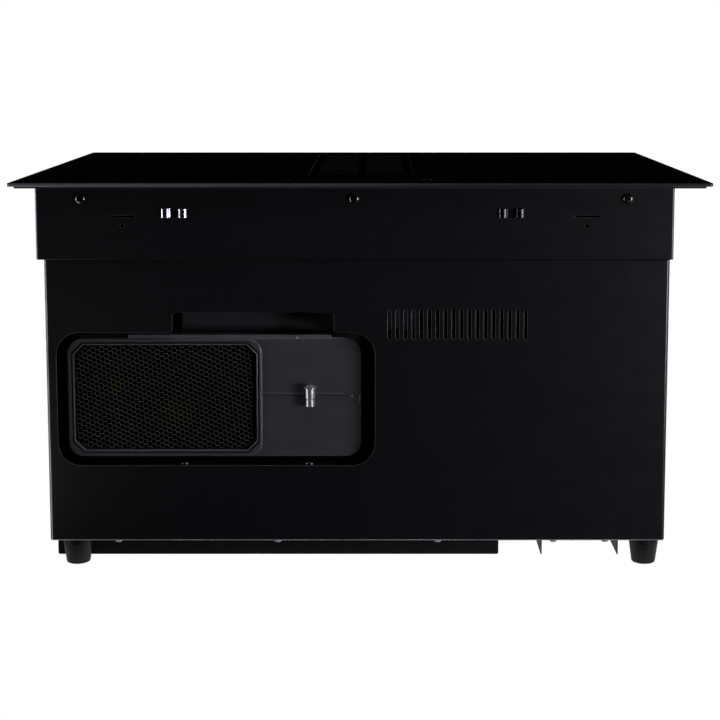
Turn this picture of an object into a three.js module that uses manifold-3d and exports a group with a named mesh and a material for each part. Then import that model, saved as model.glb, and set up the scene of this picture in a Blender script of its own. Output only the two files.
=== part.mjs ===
// Downdraft induction cooktop: a glass hob with a central extractor, seen from its control side.
//
// Frame: millimetres, +X to the right, +Y to the back, +Z up. The origin is on the floor under the
// middle of the glass. The front of the appliance faces -Y.

import * as THREE from 'three';
import { mergeVertices } from 'three/addons/utils/BufferGeometryUtils.js';
import Module from 'manifold-3d';

// ---------------------------------------------------------------------------------- dimensions

const FIT = 0.3; // running gap between pieces that touch
const SHEET = 1; // steel sheet of the casings
const RETURN = 14; // folded edge of a casing sheet
const SMALLEST = 0.004; // a corner that stands out by less than this is dropped

const GLASS = { width: 770, depth: 520, thickness: 4, corner: 5, top: 438 };
const SEAL = { inset: 7, width: 10, thickness: 2 };

// The casing hangs under the glass; shiftX is how far it sits off the middle of the glass.
const CASING = { overhangX: 32.5, overhangY: 20, shiftX: -6, floor: 351.3 };
const CASING_SCREW = { pitch: 301.2, shift: -0.7, belowGlass: 14.7, head: 5.7, headHeight: 3.2, length: 9 };
const CLAMP_SLOT = { halfSpan: 256.5, width: 28, height: 2.5, belowGlass: 34.4 };
const CLAMP_HOLE = { radius: 2.4, drop: 10.6 };
const CLIP = {
  halfSpan: 188.3, shift: -13.3, belowGlass: 31.2, length: 30, height: 11,
  strip: 0.6, proud: 4.9, hump: 8.6, foot: 3,
};

// The lower body is set in from the casing on every side.
const BODY = { insetX: 4.8, insetY: 5.4, shiftX: 2.2, bottom: 30 };
const OUTLET = { fromLeft: 11.8, width: 356, bottom: 117.1, top: 268.8, corner: 26.5, steps: 10 };
const NOTCH = { fromLeft: 130.2, width: 179.8, top: 291.8, corner: 6, foot: 4 };
const LOUVRE = { count: 18, fromOutlet: 16, pitch: 8.94, width: 3.5, bottom: 261, top: 294.6 };

const VENT = { width: 120, depth: 340, centreY: 30 };
const THROAT = { wall: 2, ledge: 6, shelf: 370, shelfThickness: 2, flange: 10 };
const GRILLE = { thickness: 8, rim: 9, spine: 8, slots: 17, slotRatio: 0.58 };
const GREASE = { height: 52, rim: 6, bars: 7, bar: 3, barInset: 6 };
const PLENUM = {
  leftOfWheel: 80, rightOfVent: 5, fromFront: 49.6, behindVent: 5, floor: 262, wall: 2, spigot: 10,
};

const VOLUTE = {
  fromLeft: 20.7, width: 331.2, recess: 16, bottom: 123.8, top: 259.2, seam: 193.4,
  wall: 3, edge: 16, edgeSteps: 8, wheelFromRight: 125.4, wheelFromFront: 228.6, tongueGap: 5, inlet: 88,
  shaftHole: 18, pad: 22, padInset: 40, padFront: 70, padBack: 100,
};
const COLLAR = {
  width: 219.5, depth: 24, proud: 2.5, chamfer: 11, stop: 4,
  outerLip: 7.8, innerLip: 5.9, topLip: 6.7, bottomLip: 7.5,
};
const CARBON = { thickness: 20, recess: 2.5 };
const PIN = {
  fromRight: 57.1, bottom: 182.7, top: 208.2, shank: 5.9, neck: 5.4, flange: 6.8, flangeHeight: 1,
  dome: 3.2, domeHeight: 3, neckDrop: 1,
};
const WHEEL = {
  radius: 105, bladeDepth: 18, blades: 24, blade: 1.6, bottom: 6, top: 9, hub: 16, hubHeight: 22,
  disc: 2.5, ring: 3, bladeTurn: 28,
};
const SHAFT = { radius: 4, length: 120, aboveHub: 4 };
const MOTOR = {
  radius: 48, height: 70, flange: 60, flangeThickness: 3, spigot: 26, spigotHeight: 5, bevel: 4,
};
const STAND = {
  leftInset: 40.8, rightInset: 30.4, frontGap: 1.6, backGap: 34.6, sheet: 1.5, foot: 18, gap: 7,
};
const LIP_SCREW = { pitch: 140.9, fromRight: 128.45, setback: 8.6, head: 5, headHeight: 2.8, length: 8 };

const SUMP = { fromLeft: 0.7, guardGap: 48.8, setback: 37, backGap: 52.2, sheet: 1, floorGap: 1.5 };
const GUARD = { fromRight: 46.6, width: 89.3, length: 140, sheet: 1.2 };
const FOOT = { fromLeft: 27.9, fromRight: 20.3, inset: 20, top: 16.5, bottom: 13.5, bevel: 1.5, collar: 6 };
const BASE_SCREW = {
  fromLeft: [75.9, 257.2, 438.8], fromRight: [124.7, 65.9], setback: 12,
  head: 4.2, headHeight: 2.6, length: 8,
};
const DIVIDER = { rightOfVolute: 71.6, top: 258, foot: 12 };
const GLAND = { fromGuard: 87.6, thread: 10, nut: 14, nutHeight: 6, length: 16, bore: 6, above: 8 };
const TERMINAL = { width: 62, depth: 30, height: 24, behindGland: 70, cells: 6, cell: 8, lip: 6 };

const COIL = { gap: 16, margin: 6, shift: -1, thickness: 9, bore: 14, bevel: 4 };
const COIL_PLATE = { ventGap: 25, wallGap: 10.5, controlGap: 2.7, backGap: 11, sheet: 1.5, foot: 12 };
const CONTROL = {
  width: 300, depth: 40, setback: 10, thickness: 1.6, carrier: 9, wall: 2, rib: 4,
  keys: [-108, -36, 36, 108], key: 24, keyDepth: 16, keyHeight: 4,
};
const BOARD = { peg: 3, pegInset: 8, thickness: 1.6, standoff: 5 };
const POWER = { legGap: 3, fromPlateFront: 124, fromPlateBack: 28, tallest: 26 };
const SINK = { width: 80, length: 170, base: 4, fins: 9, fin: 1.6, height: 34 };
const FAN = {
  fromDivider: 78, setback: 24.6, size: 120, corner: 5, height: 38, bore: 55, hub: 20, blades: 7,
  shell: 2.5, arm: 6, tipGap: 2, blade: 2, bladeTurn: 42, topGap: 4,
};
const DRIVER = { width: 150, height: 110, centreY: 20, bottom: 60, tallest: 18 };
const SHANK = { casing: 2.2, base: 1.7, lip: 2, clearance: 0.4 }; // radii of the screws' shanks

// Components of a board: place, size and height as shares of the board and of its tallest part.
const POWER_PARTS = [
  [0.05, 0.06, 0.155, 0.13, 1], [0.05, 0.34, 0.12, 0.1, 0.7], [0.05, 0.62, 0.135, 0.23, 0.5],
  [0.72, 0.1, 0.2, 0.17, 1], [0.72, 0.45, 0.18, 0.085, 0.8], [0.72, 0.7, 0.1, 0.155, 0.6],
];
const DRIVER_PARTS = [
  [0.1, 0.12, 0.2, 0.22, 1], [0.45, 0.15, 0.15, 0.2, 0.8],
  [0.15, 0.55, 0.13, 0.33, 0.6], [0.55, 0.55, 0.3, 0.18, 0.5],
];

// ------------------------------------------------------------------------- derived datum planes

const glassUnder = GLASS.top - GLASS.thickness;
const casing = {
  left: CASING.shiftX - GLASS.width / 2 + CASING.overhangX,
  right: CASING.shiftX + GLASS.width / 2 - CASING.overhangX,
  front: -GLASS.depth / 2 + CASING.overhangY,
  back: GLASS.depth / 2 - CASING.overhangY,
  floor: CASING.floor,
  deck: CASING.floor + SHEET, // upper face of the casing floor
  top: glassUnder - FIT,
};
const body = {
  left: casing.left + BODY.insetX + BODY.shiftX,
  right: casing.right - BODY.insetX + BODY.shiftX,
  front: casing.front + BODY.insetY,
  back: casing.back - BODY.insetY,
  bottom: BODY.bottom,
  top: CASING.floor - FIT,
};
const basePlate = { under: body.bottom + SHEET + FIT };
basePlate.top = basePlate.under + SHEET;
const onBase = basePlate.top + FIT; // where a piece on the base plate starts
const vent = {
  x0: -VENT.width / 2,
  x1: VENT.width / 2,
  y0: VENT.centreY - VENT.depth / 2,
  y1: VENT.centreY + VENT.depth / 2,
};
const outlet = { left: body.left + OUTLET.fromLeft };
outlet.right = outlet.left + OUTLET.width;
const notch = { left: outlet.left + NOTCH.fromLeft };
notch.right = notch.left + NOTCH.width;
const volute = { ...VOLUTE, left: body.left + VOLUTE.fromLeft, front: body.front + VOLUTE.recess };
volute.right = volute.left + VOLUTE.width;
volute.least = VOLUTE.wheelFromRight;
volute.most = VOLUTE.width - VOLUTE.wheelFromRight;
volute.wheelX = volute.right - VOLUTE.wheelFromRight;
volute.wheelY = volute.front + VOLUTE.wheelFromFront;
volute.collar = volute.left + COLLAR.width;
const stand = {
  left: volute.left + STAND.leftInset,
  right: volute.right - STAND.rightInset,
  top: VOLUTE.bottom - STAND.gap,
};
const plenum = {
  left: volute.wheelX - PLENUM.leftOfWheel,
  right: vent.x1 + PLENUM.rightOfVent,
  front: body.front + PLENUM.fromFront,
  back: vent.y1 + PLENUM.behindVent,
};
const divider = { x: volute.right + DIVIDER.rightOfVolute };
const fan = { x: divider.x + FAN.fromDivider, y: body.front + FAN.setback + FAN.size / 2 };
const guard = { right: body.right - GUARD.fromRight, front: body.front + SUMP.setback };
guard.left = guard.right - GUARD.width;
const gland = { x: (guard.left + guard.right) / 2, y: guard.front + GLAND.fromGuard };
const control = { front: casing.front + SHEET + FIT };
control.back = control.front + CONTROL.setback + CONTROL.depth;
const coilPlate = {
  front: control.back + CONTROL.wall + COIL_PLATE.controlGap,
  back: casing.back - SHEET - COIL_PLATE.backGap,
  inner: vent.x1 + COIL_PLATE.ventGap,
  outerLeft: -casing.left - SHEET - COIL_PLATE.wallGap,
  outerRight: casing.right - SHEET - COIL_PLATE.wallGap,
};
const coil = { pitch: (coilPlate.back - coilPlate.front) / 2 - COIL.margin };
coil.radius = (coil.pitch - COIL.gap) / 2;
coil.middleY = (coilPlate.front + coilPlate.back) / 2 + COIL.shift;
const plateSides = [[-1, 'left', coilPlate.outerLeft], [1, 'right', coilPlate.outerRight]];

// -------------------------------------------------------------------------------- solid helpers

const wasm = await Module();
wasm.setup();

/** Turns a closed geometry into a solid that can be joined and cut. */
function toSolid(geometry) {
  geometry.deleteAttribute('normal');
  geometry.deleteAttribute('uv');
  const welded = mergeVertices(geometry, 1e-4);
  return new wasm.Manifold(new wasm.Mesh({
    numProp: 3,
    vertProperties: new Float32Array(welded.attributes.position.array),
    triVerts: new Uint32Array(welded.index.array),
  }));
}

/** Turns a solid back into a geometry, without the needless corners that joins and cuts leave. */
function toGeometry(solid) {
  const { vertProperties, triVerts } = solid.asOriginal().simplify(SMALLEST).getMesh();
  const geometry = new THREE.BufferGeometry();
  geometry.setAttribute('position', new THREE.BufferAttribute(new Float32Array(vertProperties), 3));
  geometry.setIndex(new THREE.BufferAttribute(new Uint32Array(triVerts), 1));
  geometry.computeVertexNormals();
  return geometry;
}

const join = (solids) => solids.reduce((sum, solid) => sum.add(solid));
const cut = (solid, tools) => tools.reduce((rest, tool) => rest.subtract(tool), solid);
const at = (x, y) => new THREE.Vector2(x, y);

/** A box given by its two corners. */
function box(x0, x1, y0, y1, z0, z1) {
  const geometry = new THREE.BoxGeometry(x1 - x0, y1 - y0, z1 - z0);
  return toSolid(geometry.translate((x0 + x1) / 2, (y0 + y1) / 2, (z0 + z1) / 2));
}

/** Points on an arc, angles in degrees. */
function arc(x, y, radius, from, to, steps) {
  return Array.from({ length: steps + 1 }, (_, i) => {
    const angle = THREE.MathUtils.degToRad(from + ((to - from) * i) / steps);
    return at(x + radius * Math.cos(angle), y + radius * Math.sin(angle));
  });
}

const circle = (x, y, radius, sides = 16) => arc(x, y, radius, 0, 360 - 360 / sides, sides - 1);

const rectangle = (x0, x1, y0, y1) => [at(x0, y0), at(x1, y0), at(x1, y1), at(x0, y1)];

/** A rectangle with round corners; one step to a corner makes a chamfer. */
function roundRect(x0, x1, y0, y1, radius, steps = 4) {
  return [
    ...arc(x0 + radius, y0 + radius, radius, 180, 270, steps),
    ...arc(x1 - radius, y0 + radius, radius, 270, 360, steps),
    ...arc(x1 - radius, y1 - radius, radius, 0, 90, steps),
    ...arc(x0 + radius, y1 - radius, radius, 90, 180, steps),
  ];
}

/** A tall slot with round ends. */
const slotOutline = (x, y0, y1, radius) => [
  ...arc(x, y0 + radius, radius, 180, 360, 4),
  ...arc(x, y1 - radius, radius, 0, 180, 4),
];

/** The outline of a strip of even thickness along a line of points. */
function ribbon(points, thickness) {
  const half = thickness / 2;
  const offset = (side) => points.map((point, i) => {
    const before = points[Math.max(i - 1, 0)];
    const after = points[Math.min(i + 1, points.length - 1)];
    const inward = point.clone().sub(before).normalize();
    const outward = after.clone().sub(point).normalize();
    const along = inward.clone().add(outward).normalize();
    const reference = inward.lengthSq() > 0 ? inward : outward;
    const stretch = 1 / Math.max(Math.abs(along.dot(reference)), 0.5);
    return at(point.x - along.y * half * side * stretch, point.y + along.x * half * side * stretch);
  });
  return [...offset(1), ...offset(-1).reverse()];
}

function extrude(outline, holes, depth) {
  const shape = new THREE.Shape(outline);
  shape.holes = holes.map((hole) => new THREE.Path(hole));
  return new THREE.ExtrudeGeometry(shape, { depth, bevelEnabled: false, steps: 1 });
}

/** An outline in X and Y, standing from z0 to z1. */
function prismZ(outline, z0, z1, holes = []) {
  return toSolid(extrude(outline, holes, z1 - z0).translate(0, 0, z0));
}

/** An outline in X and Z, running from y0 to y1. */
function prismY(outline, y0, y1, holes = []) {
  const turn = new THREE.Matrix4().makeBasis(
    new THREE.Vector3(1, 0, 0), new THREE.Vector3(0, 0, 1), new THREE.Vector3(0, -1, 0),
  );
  return toSolid(extrude(outline, holes, y1 - y0).applyMatrix4(turn).translate(0, y1, 0));
}

/** An outline in Y and Z, running from x0 to x1. */
function prismX(outline, x0, x1, holes = []) {
  const turn = new THREE.Matrix4().makeBasis(
    new THREE.Vector3(0, 1, 0), new THREE.Vector3(0, 0, 1), new THREE.Vector3(1, 0, 0),
  );
  return toSolid(extrude(outline, holes, x1 - x0).applyMatrix4(turn).translate(x0, 0, 0));
}

/** A profile of radius and height pairs turned about a vertical axis. */
function turned(profile, x = 0, y = 0, sides = 24) {
  const points = profile.map(([radius, height]) => at(radius, height));
  if (THREE.ShapeUtils.isClockWise(points)) points.reverse();
  if (points.every((point) => point.x > 0)) points.push(points[0].clone());
  return toSolid(new THREE.LatheGeometry(points, sides).rotateX(Math.PI / 2).translate(x, y, 0));
}

const cylinder = (radius, z0, z1, x = 0, y = 0, sides = 24) => prismZ(circle(x, y, radius, sides), z0, z1);

/** A pan-head screw, head up, its shank hanging from z = 0. */
function screw({ head, headHeight, length }, shank, sides = 12) {
  const crown = [[0, headHeight], [head * 0.55, headHeight * 0.92], [head * 0.88, headHeight * 0.55]];
  return turned([[0, -length], [shank, -length], [shank, 0], [head, 0], ...crown.reverse()], 0, 0, sides);
}

// ----------------------------------------------------------------------------- finishes, groups

function finish(color, roughness, metalness) {
  return new THREE.MeshStandardMaterial({ color, roughness, metalness });
}
const FINISH = {
  glass: finish(0x050506, 0.06, 0),
  paint: finish(0x0c0c0e, 0.45, 0.1),
  plastic: finish(0x1d1d20, 0.5, 0),
  rubber: finish(0x161618, 0.75, 0),
  foam: finish(0x0b0b0b, 0.9, 0),
  steel: finish(0xb9bcc0, 0.3, 1),
  darkSteel: finish(0x2a2b2e, 0.4, 0.8),
  aluminium: finish(0xa9acb0, 0.4, 1),
  copper: finish(0x9a5a34, 0.45, 1),
  board: finish(0x1f4a2c, 0.6, 0),
  carbon: finish(0x101011, 0.8, 0),
};

function piece(group, name, solid, material, x = 0, y = 0, z = 0) {
  const mesh = new THREE.Mesh(toGeometry(solid), material);
  mesh.name = name;
  mesh.position.set(x, y, z);
  group.add(mesh);
  return mesh;
}

// ------------------------------------------------------------------------------------ glass top

function buildGlass(group) {
  const halfX = GLASS.width / 2;
  const halfY = GLASS.depth / 2;
  const sheet = prismZ(
    roundRect(-halfX, halfX, -halfY, halfY, GLASS.corner), glassUnder, GLASS.top,
    [rectangle(vent.x0, vent.x1, vent.y0, vent.y1)],
  );
  piece(group, 'glass_top', sheet, FINISH.glass);

  const outer = [-halfX + SEAL.inset, halfX - SEAL.inset, -halfY + SEAL.inset, halfY - SEAL.inset];
  const inner = [outer[0] + SEAL.width, outer[1] - SEAL.width, outer[2] + SEAL.width, outer[3] - SEAL.width];
  const sealTop = glassUnder - FIT;
  const strip = prismZ(rectangle(...outer), sealTop - SEAL.thickness, sealTop, [rectangle(...inner)]);
  piece(group, 'glass_seal', strip, FINISH.foam);
}

// --------------------------------------------------------------------------------- upper casing

const casingMiddle = (casing.left + casing.right) / 2;
const screwPlaces = [-1, 0, 1].map((step) => casingMiddle + CASING_SCREW.shift + step * CASING_SCREW.pitch);
const screwZ = glassUnder - CASING_SCREW.belowGlass;
const slotPlaces = [-1, 1].map((side) => casingMiddle + side * CLAMP_SLOT.halfSpan);
const slotZ = glassUnder - CLAMP_SLOT.belowGlass;
const clipPlaces = [-1, 1].map((side) => casingMiddle + CLIP.shift + side * CLIP.halfSpan);
const clipZ = glassUnder - CLIP.belowGlass;

/** The window that a spring clip looks out of, cut through a wall between two Y planes. */
function clipWindow(x, y0, y1) {
  const half = CLIP.length / 2 + FIT * 2 - CLIP.foot;
  const rise = CLIP.height / 2 + FIT * 2;
  return box(x - half, x + half, y0, y1, clipZ - rise, clipZ + rise);
}

function buildCasing(group) {
  const shell = cut(box(casing.left, casing.right, casing.front, casing.back, casing.floor, casing.top), [
    box(
      casing.left + SHEET, casing.right - SHEET, casing.front + SHEET, casing.back - SHEET,
      casing.deck, casing.top + 1,
    ),
  ]);
  const through = [casing.front - 1, casing.front + SHEET + 1];
  const rear = [casing.back - SHEET - 1, casing.back + 1];
  const cuts = [
    box(
      vent.x0 + THROAT.ledge, vent.x1 - THROAT.ledge, vent.y0 + THROAT.ledge, vent.y1 - THROAT.ledge,
      casing.floor - 1, casing.deck + 1,
    ),
    cylinder(FAN.bore, casing.floor - 1, casing.deck + 1, fan.x, fan.y, 32),
  ];
  for (const x of screwPlaces) {
    cuts.push(prismY(circle(x, screwZ, SHANK.casing + SHANK.clearance, 12), ...through));
  }
  for (const x of slotPlaces) {
    const rise = CLAMP_SLOT.height / 2;
    const half = CLAMP_SLOT.width / 2;
    cuts.push(box(x - half, x + half, ...through, slotZ - rise, slotZ + rise));
    cuts.push(prismY(circle(x, slotZ - CLAMP_HOLE.drop, CLAMP_HOLE.radius, 12), ...through));
  }
  for (const x of clipPlaces) {
    cuts.push(clipWindow(x, ...through), clipWindow(x, ...rear));
  }
  piece(group, 'upper_casing', cut(shell, cuts), FINISH.paint);

  screwPlaces.forEach((x, i) => {
    const mesh = piece(
      group, `casing_screw_${i + 1}`, screw(CASING_SCREW, SHANK.casing), FINISH.darkSteel,
      x, casing.front - FIT, screwZ,
    );
    mesh.rotation.x = Math.PI / 2;
  });
  buildClips(group);
}

/** A leaf of spring strip with two humps; its outer face is on y = 0 and its humps stand towards -Y. */
function clipLeaf() {
  const half = CLIP.length / 2;
  const middle = half - CLIP.foot - CLIP.hump;
  const peak = CLIP.hump / 2;
  const line = [at(-half, 0), at(-half + CLIP.foot, 0)];
  const hump = (x) => [at(x - peak * 0.35, -CLIP.proud), at(x + peak * 0.35, -CLIP.proud)];
  line.push(...hump(-middle - peak), at(-middle, 0), at(middle, 0), ...hump(middle + peak));
  line.push(at(half - CLIP.foot, 0), at(half, 0));
  return prismZ(ribbon(line, CLIP.strip), -CLIP.height / 2, CLIP.height / 2);
}

function buildClips(group) {
  const seat = SHEET + FIT + CLIP.strip / 2;
  clipPlaces.forEach((x, i) => {
    piece(
      group, `spring_clip_front_${i + 1}`, clipLeaf(), FINISH.steel, x, casing.front + seat, clipZ,
    );
    const rear = piece(
      group, `spring_clip_rear_${i + 1}`, clipLeaf(), FINISH.steel, x, casing.back - seat, clipZ,
    );
    rear.rotation.z = Math.PI;
  });
}

// ------------------------------------------------------------------------- coils and electronics

function buildCoils(group) {
  const coilTop = casing.top;
  const coilUnder = coilTop - COIL.thickness;
  const plateTop = coilUnder - FIT;
  const low = casing.deck + FIT;
  const half = COIL_PLATE.sheet / 2;
  const winding = turned([
    [COIL.bore, 0], [coil.radius, 0], [coil.radius, COIL.thickness - COIL.bevel / 2],
    [coil.radius - COIL.bevel, COIL.thickness], [COIL.bore + COIL.bevel, COIL.thickness],
    [COIL.bore, COIL.thickness - COIL.bevel / 2],
  ]);
  for (const [side, label, outer] of plateSides) {
    const inner = coilPlate.inner + COIL_PLATE.foot;
    const deckEnd = outer - COIL_PLATE.foot;
    const line = [
      [coilPlate.inner, low + half], [inner, low + half], [inner, plateTop - half],
      [deckEnd, plateTop - half], [deckEnd, low + half], [outer, low + half],
    ].map(([x, z]) => at(side * x, z));
    const plate = prismY(ribbon(line, COIL_PLATE.sheet), coilPlate.front, coilPlate.back);
    piece(group, `coil_plate_${label}`, plate, FINISH.aluminium);
    for (const [step, place] of [[-0.5, 'front'], [0.5, 'back']]) {
      const x = (side * (inner + deckEnd)) / 2;
      const y = coil.middleY + step * coil.pitch;
      piece(group, `coil_${label}_${place}`, winding, FINISH.copper, x, y, coilUnder);
    }
  }
}

/** A circuit board with pegs under it and its components on it. */
function circuitBoard(width, depth, tallest, components) {
  const { peg, pegInset, thickness, standoff } = BOARD;
  const root = standoff + thickness / 2;
  const parts = [box(0, width, 0, depth, standoff, standoff + thickness)];
  for (const x of [pegInset, width - pegInset]) {
    for (const y of [pegInset, depth - pegInset]) {
      parts.push(cylinder(peg, 0, root, x, y, 8));
    }
  }
  for (const [x, y, sizeX, sizeY, height] of components) {
    parts.push(box(
      x * width, (x + sizeX) * width, y * depth, (y + sizeY) * depth, root, root + height * tallest,
    ));
  }
  return join(parts);
}

function buildControls(group) {
  const { front, back } = control;
  const half = CONTROL.width / 2;
  const boardTop = casing.top;
  const boardUnder = boardTop - CONTROL.thickness;
  const middle = (front + CONTROL.setback + back) / 2;
  const board = box(-half, half, front + CONTROL.setback, back, boardUnder, boardTop);
  const keys = CONTROL.keys.map((x) => box(
    x - CONTROL.key / 2, x + CONTROL.key / 2, middle - CONTROL.keyDepth / 2, middle + CONTROL.keyDepth / 2,
    boardUnder - CONTROL.keyHeight, boardUnder + CONTROL.thickness / 2,
  ));
  piece(group, 'control_board', join([board, ...keys]), FINISH.board);

  const { wall, rib } = CONTROL;
  const top = boardUnder - FIT;
  const under = top - CONTROL.carrier;
  const tray = cut(box(-half - wall, half + wall, front, back + wall, under, top), [
    box(-half + rib, half - rib, front + CONTROL.setback + rib, back - rib, under + wall, top + 1),
  ]);
  piece(group, 'control_carrier', tray, FINISH.plastic);
}

function buildPower(group) {
  const front = coilPlate.front + POWER.fromPlateFront;
  const depth = coilPlate.back - POWER.fromPlateBack - front;
  const seat = casing.deck + FIT;
  const inner = coilPlate.inner + COIL_PLATE.foot + POWER.legGap;
  for (const [side, label, reach] of plateSides) {
    const outer = reach - COIL_PLATE.foot - POWER.legGap;
    const width = outer - inner;
    const left = side < 0 ? -outer : inner;
    const board = circuitBoard(width, depth, POWER.tallest, POWER_PARTS);
    piece(group, `power_board_${label}`, board, FINISH.board, left, front, seat);

    const gap = (SINK.width - SINK.fin) / (SINK.fins - 1);
    const fins = Array.from({ length: SINK.fins }, (_, i) => box(
      i * gap, i * gap + SINK.fin, 0, SINK.length, SINK.base / 2, SINK.height,
    ));
    const sink = join([box(0, SINK.width, 0, SINK.length, 0, SINK.base), ...fins]);
    piece(
      group, `heat_sink_${label}`, sink, FINISH.aluminium, left + (width - SINK.width) / 2,
      front + (depth - SINK.length) / 2, seat + BOARD.standoff + BOARD.thickness + FIT,
    );
  }
}

function buildCoolingFan(group) {
  const top = casing.floor - FIT;
  const under = top - FAN.height;
  const half = FAN.size / 2;
  const holder = under + FAN.shell;
  const frame = cut(
    prismZ(roundRect(fan.x - half, fan.x + half, fan.y - half, fan.y + half, FAN.corner, 2), under, top),
    [cylinder(FAN.bore, under - 1, top + 1, fan.x, fan.y, 32)],
  );
  const arms = [45, 135].map((angle) => {
    const bar = new THREE.BoxGeometry(FAN.bore * 2 + FAN.arm / 2, FAN.arm, FAN.shell);
    bar.rotateZ(THREE.MathUtils.degToRad(angle)).translate(fan.x, fan.y, under + FAN.shell / 2);
    return toSolid(bar);
  });
  const seatDisc = cylinder(FAN.hub, under, holder, fan.x, fan.y);
  piece(group, 'cooling_fan_frame', join([frame, ...arms, seatDisc]), FINISH.plastic);

  const rotorBottom = holder + FIT;
  const rotorTop = top - FAN.topGap;
  const reach = FAN.bore - FAN.tipGap;
  const root = FAN.hub - FAN.arm;
  const rotorParts = [cylinder(FAN.hub, rotorBottom, rotorTop)];
  for (let i = 0; i < FAN.blades; i += 1) {
    const blade = new THREE.BoxGeometry(reach - root, FAN.blade, (rotorTop - rotorBottom) * 0.8);
    blade.rotateX(THREE.MathUtils.degToRad(FAN.bladeTurn));
    blade.translate((reach + root) / 2, 0, (rotorTop + rotorBottom) / 2);
    rotorParts.push(toSolid(blade.rotateZ((i * Math.PI * 2) / FAN.blades)));
  }
  const swept = cylinder(reach, rotorBottom, rotorTop, 0, 0, 48);
  piece(group, 'cooling_fan_rotor', join(rotorParts).intersect(swept), FINISH.plastic, fan.x, fan.y, 0);
}

// --------------------------------------------------------------------------- vent, filter, throat

function buildVent(group) {
  const grilleTop = GLASS.top;
  const grilleUnder = grilleTop - GRILLE.thickness;
  const x0 = vent.x0 + FIT;
  const x1 = vent.x1 - FIT;
  const y0 = vent.y0 + FIT;
  const y1 = vent.y1 - FIT;
  const pitch = (y1 - y0 - 2 * GRILLE.rim) / GRILLE.slots;
  const slotDepth = pitch * GRILLE.slotRatio;
  const slots = [];
  for (let i = 0; i < GRILLE.slots; i += 1) {
    const y = y0 + GRILLE.rim + pitch * (i + 0.5) - slotDepth / 2;
    slots.push(box(x0 + GRILLE.rim, -GRILLE.spine / 2, y, y + slotDepth, grilleUnder - 1, grilleTop + 1));
    slots.push(box(GRILLE.spine / 2, x1 - GRILLE.rim, y, y + slotDepth, grilleUnder - 1, grilleTop + 1));
  }
  piece(group, 'vent_grille', cut(box(x0, x1, y0, y1, grilleUnder, grilleTop), slots), FINISH.darkSteel);

  const seat = casing.deck + FIT;
  const wall = THROAT.wall;
  const throatTop = glassUnder - FIT;
  const { ledge } = THROAT;
  const inside = [vent.x0 + ledge, vent.x1 - ledge, vent.y0 + ledge, vent.y1 - ledge];
  const tube = box(vent.x0 - wall, vent.x1 + wall, vent.y0 - wall, vent.y1 + wall, seat, throatTop);
  const reach = wall + THROAT.flange;
  const flange = box(vent.x0 - reach, vent.x1 + reach, vent.y0 - reach, vent.y1 + reach, seat, seat + wall);
  const throat = cut(join([tube, flange]), [
    box(vent.x0, vent.x1, vent.y0, vent.y1, grilleUnder - FIT, throatTop + 1),
    box(...inside, THROAT.shelf, throatTop + 1),
    box(
      inside[0] + ledge, inside[1] - ledge, inside[2] + ledge, inside[3] - ledge, seat - 1, THROAT.shelf + 1,
    ),
    box(...inside, seat - 1, THROAT.shelf - THROAT.shelfThickness),
  ]);
  piece(group, 'intake_throat', throat, FINISH.plastic);

  const gx0 = inside[0] + FIT;
  const gx1 = inside[1] - FIT;
  const gy0 = inside[2] + FIT;
  const gy1 = inside[3] - FIT;
  const low = THROAT.shelf + FIT;
  const { rim, height: tall } = GREASE;
  const frame = cut(box(gx0, gx1, gy0, gy1, low, low + tall), [
    box(gx0 + rim, gx1 - rim, gy0 + rim, gy1 - rim, low - 1, low + tall + 1),
  ]);
  const bars = [];
  const span = (gx1 - gx0 - 2 * rim) / (GREASE.bars + 1);
  for (let i = 1; i <= GREASE.bars; i += 1) {
    const x = gx0 + rim + span * i;
    bars.push(box(
      x - GREASE.bar / 2, x + GREASE.bar / 2, gy0 + rim / 2, gy1 - rim / 2,
      low + GREASE.barInset, low + tall - GREASE.barInset,
    ));
  }
  piece(group, 'grease_filter', join([frame, ...bars]), FINISH.aluminium);

  const { left, right, front, back } = plenum;
  const { floor, wall: skin } = PLENUM;
  const top = casing.floor - FIT;
  const tank = cut(box(left, right, front, back, floor, top), [
    box(left + skin, right - skin, front + skin, back - skin, floor + skin, top + 1),
  ]);
  const { wheelX, wheelY } = volute;
  const spigotRadius = VOLUTE.inlet - FIT * 4;
  const spigotEnd = floor - PLENUM.spigot;
  const spigot = cylinder(spigotRadius, spigotEnd, floor + skin / 2, wheelX, wheelY, 40);
  const bore = cylinder(spigotRadius - skin, spigotEnd - 1, top, wheelX, wheelY, 40);
  piece(group, 'plenum_box', cut(join([tank, spigot]), [bore]), FINISH.plastic);
}

// -------------------------------------------------------------------------------------- blower

/** The scroll's plan: a square front with a spiral back, drawn in by the inset. */
function scrollOutline(inset) {
  const { left, right, front, wheelX, wheelY, least, most } = volute;
  const steps = 20;
  const spiral = Array.from({ length: steps + 1 }, (_, i) => {
    const radius = least + ((most - least) * i) / steps - inset;
    const angle = (Math.PI * i) / steps;
    return at(wheelX + radius * Math.cos(angle), wheelY + radius * Math.sin(angle));
  });
  return [at(left + inset, front + inset), at(right - inset, front + inset), ...spiral];
}

/** The wall that peels the air off the wheel, from the collar round to the right-hand side. */
function tongueOutline() {
  const { wheelX, wheelY, wall, least } = volute;
  const start = WHEEL.radius + VOLUTE.tongueGap + wall / 2;
  const end = least - wall / 2;
  const steps = 10;
  const line = [at(volute.collar - wall / 2, volute.front + wall / 2)];
  for (let i = 0; i <= steps; i += 1) {
    const angle = THREE.MathUtils.degToRad(-90 + (90 * i) / steps);
    const radius = start + ((end - start) * i) / steps;
    line.push(at(wheelX + radius * Math.cos(angle), wheelY + radius * Math.sin(angle)));
  }
  return ribbon(line, wall);
}

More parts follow.
